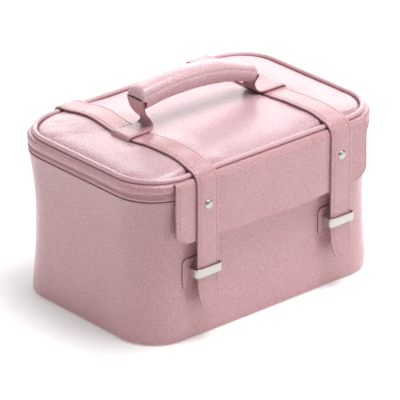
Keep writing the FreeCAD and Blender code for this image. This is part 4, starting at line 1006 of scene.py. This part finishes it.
# ---------------------------------------------------------------- straps, rivets, keepers and patches
for sx, side in ((-1, "left"), (1, "right")):
    X0 = -85.8 if sx < 0 else 87.0
    HW = 13.2
    top = sorted(TOPS[sx])
    rear = [(101.3, 96), (101.9, 107), (102.55, 118), (104.2, 137), (105.65, 154.9), (106.6, 160), (106.6, 166.9), (106.1, 170.3), (103.4, 174), (98.6, 175.3)]
    rear += [p for p in top[::-1] if p[0] > 1] + [(0.0, top[len(top) // 2][1] * 0 + np.interp(0, [a for a, b in top], [b for a, b in top]))]
    line = smooth_line(rear, 1.6)
    lean = 3.0 * step01(-10, 100, line[:, 0]) * step01(140, 166, line[:, 1]) * (sx < 0)
    P = np.stack([X0 + lean, line[:, 0], line[:, 1]], 1)
    s = lengths(P)
    hw = HW - 7.0 * (1 - np.sqrt(1 - (1 - (s / 9).clip(0, 1)) ** 2.2))
    v, f, tone, info = sweep(P, (1, 0, 0), hw, 2.6, ends=(1, 0))
    g = Geo()
    g.add(v, f, 0, tone)
    k0 = int(np.argmax(s > 6))
    for q in (-1, 1):
        band_stitches(g, info, q * (hw - 3.1), lo=k0)
    # a small rivet holds the strap on its rear bend
    i = int(np.argmax(line[:, 1] > 171.6))
    n_ = info[2][i]
    v, f = lathe([(0.05, 1.0), (0.9, 0.9), (1.7, 0.55), (2.0, 0.1), (1.9, -0.2), (0.05, -0.4)], P[i] + n_ * 1.35, n_, 20)
    g.add(v, f, 2)
    bridge(g.make(side + "_strap_rear", [BAND, THREAD, NICKEL]), "case", "lid", (0, 105.3, 150), (0, 105.3, 162), "strap_leatherette", side + "_strap_back", side + "_strap_top")

    fore = [(0.0, np.interp(0, [a for a, b in top], [b for a, b in top]))] + [p for p in top[::-1] if p[0] < -1]
    fore += [(-99.6, 175.3), (-103.4, 173.9), (-106.9, 170.6), (-109.0, 166.2), (-109.75, 160), (-109.75, 150), (-109.75, 140), (-109.75, 124)]
    line = smooth_line(fore, 1.6)
    lean = 3.0 * step01(-10, 100, line[:, 0]) * (sx < 0)
    P = np.stack([X0 + lean, line[:, 0], line[:, 1]], 1)
    v, f, tone, info = sweep(P, (1, 0, 0), HW, 2.6)
    g = Geo()
    g.add(v, f, 0, tone)
    for q in (3.1 - HW, HW - 3.1):
        band_stitches(g, info, q)
    bridge(g.make(side + "_strap_fore", [BAND, THREAD]), "lid", "flap", (0, -106.5, 170.5), (0, -106.5, 161.5), "strap_leatherette", side + "_strap_top", side + "_strap_bend", side + "_strap_front")

    line = smooth_line([(-109.75, 124), (-109.75, 112), (-109.75, 98), (-109.75, 84), (-109.8, 66), (-110.5, 56), (-111.7, 48), (-113.0, 40), (-114.1, 32.6)], 1.0)
    P = np.stack([np.full(len(line), X0), line[:, 0], line[:, 1]], 1)
    t = ((60 - line[:, 1]) / 27.6).clip(0, 0.997)
    hw = HW * (1 - t ** 4.0) ** (1 / 2.5)
    v, f, tone, info = sweep(P, (1, 0, 0), hw, 2.6, ends=(0, 1))
    g = Geo()
    g.add(v, f, 0, tone)
    k1 = int(np.argmax(line[:, 1] < 40))
    for q in (-1, 1):
        band_stitches(g, info, q * (hw - 3.1 * np.minimum(1, hw / 8)), hi=k1)
    i = int(np.argmax(line[:, 1] < 36.6))
    w = hw[i] - 3.4
    row = np.array([P[i] + np.array((u * w, 0, 0.9 * u * u)) + info[2][i] * 1.2 for u in np.linspace(-1, 1, 9)])
    stitch_line(g, row, np.tile(info[2][i], (9, 1)))
    bridge(g.make(side + "_strap_end", [BAND, THREAD]), "flap", side + "_tail", (X0, -109.7, 112), (X0, -109.7, 98), "strap_leatherette", side + "_strap_tail")

    dome = [(0.05, 2.15), (1.35, 2.08), (2.7, 1.8), (3.75, 1.35), (4.45, 0.75), (4.77, 0.25), (4.8, 0.0), (4.6, -0.15), (2.0, -0.25), (0.05, -0.25)]
    g = Geo()
    v, f = lathe(dome, (X0, -111.15, 141), (0, -1, 0))
    g.add(v, f)
    ride(g.make(side + "_stud", [NICKEL], sharp=60), "flap", "nickel", side + "_rivet")
    g = Geo()
    v, f = lathe(dome, (X0, 103.75, 112), (0, 1, 0.0))
    g.add(v, f)
    ride(g.make(side + "_back_stud", [NICKEL], sharp=60), "case", "nickel", side + "_back_rivet")

    # keeper: a flat metal loop whose ends go through the patch
    kx = -85.8 if sx < 0 else 87.4
    line = [(-15.65, -99.4), (-15.65, -106), (-15.65, -110.0), (-15.1, -111.7), (-13.8, -112.6), (-12.0, -112.75), (0, -112.75), (12.0, -112.75), (13.8, -112.6), (15.1, -111.7), (15.65, -110.0), (15.65, -106), (15.65, -99.4)]
    line = smooth_line(line, 0.6, 2)
    P = np.stack([kx + line[:, 0], line[:, 1], np.full(len(line), 72.0)], 1)
    T = np.gradient(P, axis=0)
    T /= np.linalg.norm(T, axis=1)[:, None]
    N = np.cross(T, (0, 0, 1.0))
    sec = [(0.75, -4.1), (0.62, -4.36), (0.35, -4.5), (-0.35, -4.5), (-0.62, -4.36), (-0.75, -4.1), (-0.75, -1.5), (-0.75, 1.5), (-0.75, 4.1), (-0.62, 4.36), (-0.35, 4.5), (0.35, 4.5), (0.62, 4.36), (0.75, 4.1), (0.75, 1.5), (0.75, -1.5)]
    v, f = loft(np.array([[p + n_ * a + np.array((0, 0, b)) for a, b in sec] for p, n_ in zip(P, N)]))
    g = Geo()
    g.add(v, f)
    ride(g.make(side + "_keeper_band", [NICKEL], sharp=50), "case", "nickel", side + "_keeper")

    px = -87.4 if sx < 0 else 88.8
    out = dense(rounded(22.5, 15.75, 6, 8, px, 70.25), 2.0)
    v, f = plate(out, 98.3, 100.9, 0.6, lambda a, b, c: (a, -c, b))
    g = Geo()
    # the patch's rounded rim and side are painted darker, down to 0.52, as painted shade: the thin dark line round the
    # patch
    g.add(v, f, 0, np.repeat([1.0, 0.9, 0.66, 0.55, 0.52, 0.52, 0.55, 0.66, 0.9, 1.0], len(out)))
    st = dense(rounded(20.1, 13.35, 4.2, 8, px, 70.25), 1.0)
    st = np.vstack([st, st[:1]])
    stitch_line(g, np.array([(a, -101.0, b) for a, b in st]), np.tile((0, -1.0, 0), (len(st), 1)), r=0.4)
    ride(g.make(side + "_patch_skin", [BAND, THREAD]), "case", "strap_leatherette", side + "_keeper_patch")

# ---------------------------------------------------------------- handle: padded roll and its tabs
ang = np.radians(np.linspace(-9.1, 17.4, 96))
L = 295.8 * (ang[-1] - ang[0])
cen = np.stack([-27.8 + 295.8 * np.sin(ang), 0 * ang, -78.7 + 295.8 * np.cos(ang)], 1)
tan = np.stack([np.cos(ang), 0 * ang, -np.sin(ang)], 1)
up = np.stack([np.sin(ang), 0 * ang, np.cos(ang)], 1)
nu = 72
th = np.linspace(0, 2 * math.pi, nu + 1)[:-1]
s = np.linspace(0, L, 96)
sec_y = 13.4 * np.sign(np.cos(th)) * np.abs(np.cos(th)) ** 0.88
sec_z = 11.9 * np.sign(np.sin(th)) * np.abs(np.sin(th)) ** 0.88
edge = np.minimum(s, L - s)
slim = 1 - 0.2 * step01(L - 52, L, s)
cen[:, 2] -= 2.0 * step01(L - 44, L, s)
rows = cen[:, None, :] + sec_y[None, :, None] * np.array((0, 1.0, 0)) + sec_z[None, :, None] * slim[:, None, None] * up[:, None, :]
rad = rows - cen[:, None, :]
rad /= np.linalg.norm(rad, axis=2)[:, :, None]
flat = np.stack([np.repeat(s, nu) * 0.35, np.tile(sec_y, 96), np.tile(sec_z, 96)], 1)
crease = (0.32 * noise(flat, 7, 81) + 0.22 * noise(flat * (3, 1, 1), 5, 82)).reshape(96, nu)
disp = crease * (0.5 + 0.5 * np.exp(-edge / 16))[:, None]
# a sewn line along each side
seam = np.zeros((96, nu))
for t0 in (0.4, math.pi - 0.4):
    dist = 12.4 * np.abs(th - t0)
    seam = np.maximum(seam, np.exp(-(dist / 1.1) ** 2)[None, :])
disp -= 0.75 * seam
rows = rows + rad * disp[:, :, None]
# painted highlight and shade: the roll is painted 12 % lighter for the sheen along its top, and up to 20 % darker along
# the seam grooves for their shade
tone = 1.12 - 0.2 * seam
first, last = rows[0], rows[-1]
caps = []
# the skin's upper half folds down over each end like a hood; the tab comes out below it
hood = step01(-0.6, 1.2, sec_z)
HOOD = [(0.996, 0.985, 1.5), (0.988, 0.945, 3.0), (0.975, 0.875, 4.4), (0.962, 0.775, 5.6), (0.95, 0.64, 6.5), (0.94, 0.48, 7.0), (0.93, 0.3, 7.2), (0.925, 0.2, 7.0), (0.92, 0.17, 6.2), (0.9, 0.15, 4.6), (0.84, 0.1, 4.0), (0.3, 0.02, 4.0)]
SLEEVE = [(1, 1, 0.8), (1, 1, 1.6), (1, 1, 2.4), (0.998, 0.998, 3.0), (0.99, 0.99, 3.5), (0.975, 0.975, 3.75), (0.95, 0.95, 3.85), (0.92, 0.92, 3.9), (0.88, 0.88, 3.9), (0.82, 0.82, 3.9), (0.7, 0.7, 3.9), (0.3, 0.3, 3.9)]
for base, c, t, u, far in ((first, cen[0], -tan[0], up[0], 1.0), (last, cen[-1], tan[-1], up[-1], 0.75)):
    yy, zq = (base - c)[:, 1], (base - c) @ u
    out = []
    for (ky, kz, h), (jy, jz, k) in zip(HOOD, SLEEVE):
        q = hood * ky + (1 - hood) * jy
        r = hood * kz + (1 - hood) * jz
        e = (hood * h + (1 - hood) * k) * far
        out.append(c + (yy * q)[:, None] * np.array((0, 1.0, 0)) + (zq * r)[:, None] * u + e[:, None] * t)
    caps.append(out)
rows = np.concatenate([np.array(caps[0][::-1]), rows, np.array(caps[1])])
# the hoods carry the same painted 12 % highlight; their turned-in rows under the hood are painted darker (0.7) as
# painted shade
shade = np.full((12, nu), 1.12)
shade[7:] = 0.7
tone = np.concatenate([shade[::-1], tone, shade])
v, f = loft(rows)
g = Geo()
g.add(v, f, 0, tone)
for t0 in (0.4, math.pi - 0.4):
    i = int(np.argmin(np.abs(th - t0)))
    pts = rows[12 + 2:12 + 94, i] + rad[2:94, i] * 0.1
    stitch_line(g, pts, rad[2:94, i], r=0.42)
roll = ride(g.make("grip_roll", [LIT_PAD, THREAD], sharp=50), "handle", "strap_leatherette", "handle_cover", "handle_core")

for sx, side in ((-1, "left"), (1, "right")):
    if sx < 0:
        line = [(-101.3, 176.6), (-101.0, 179.0), (-100.0, 180.6), (-97.5, 180.9), (-73, 180.8), (-69.4, 182.0), (-67.8, 185.2), (-69.6, 189.6), (-73.4, 193.2), (-77.0, 197.6), (-79.4, 202.6), (-80.8, 207.4), (-81.8, 213.0)]
        W = (0, 1.0, 0)
    else:
        line = [(101.2, 175.9), (100.9, 178.4), (99.8, 180.0), (97.4, 180.3), (72, 180.2), (67.6, 181.3), (65.2, 184.2), (65.2, 188.4), (66.2, 192.6), (66.8, 196.5), (67.4, 200.5)]
        W = (0, -1.0, 0)
    line = smooth_line(line, 0.9)
    P = np.stack([line[:, 0], 0 * line[:, 0], line[:, 1]], 1)
    s = lengths(P)
    neck = float(s[int(np.argmin(np.abs(line[:, 1] - 187.5) + 99 * (np.abs(line[:, 0]) > 74)))])
    total = s[-1]
    hw = np.interp(s, [0, neck - 13, neck - 6, neck, neck + 4, neck + (total - neck) * 0.62, total], [13.6, 13.5, 11.6, 8.2, 7.6, 11.0, 12.2])
    for _ in range(5):
        hw[1:-1] = (hw[:-2] + 2 * hw[1:-1] + hw[2:]) / 4
    v, f, tone, info = sweep(P, W, hw, 2.2, ends=(1, 0), groove=False)
    g = Geo()
    g.add(v, f, 0, tone)
    k1 = int(np.argmax(s > neck - 12))
    for q in (-1, 1):
        band_stitches(g, info, q * (hw - 2.6), lo=6, hi=k1, h=1.34)
    z0, z1 = (183.5, 204.0) if sx < 0 else (182.5, 194.0)
    bridge(g.make(side + "_tab_skin", [BAND, THREAD]), "lid", "handle", (0, 0, z0), (0, 0, z1), "strap_leatherette", side + "_handle_tab")
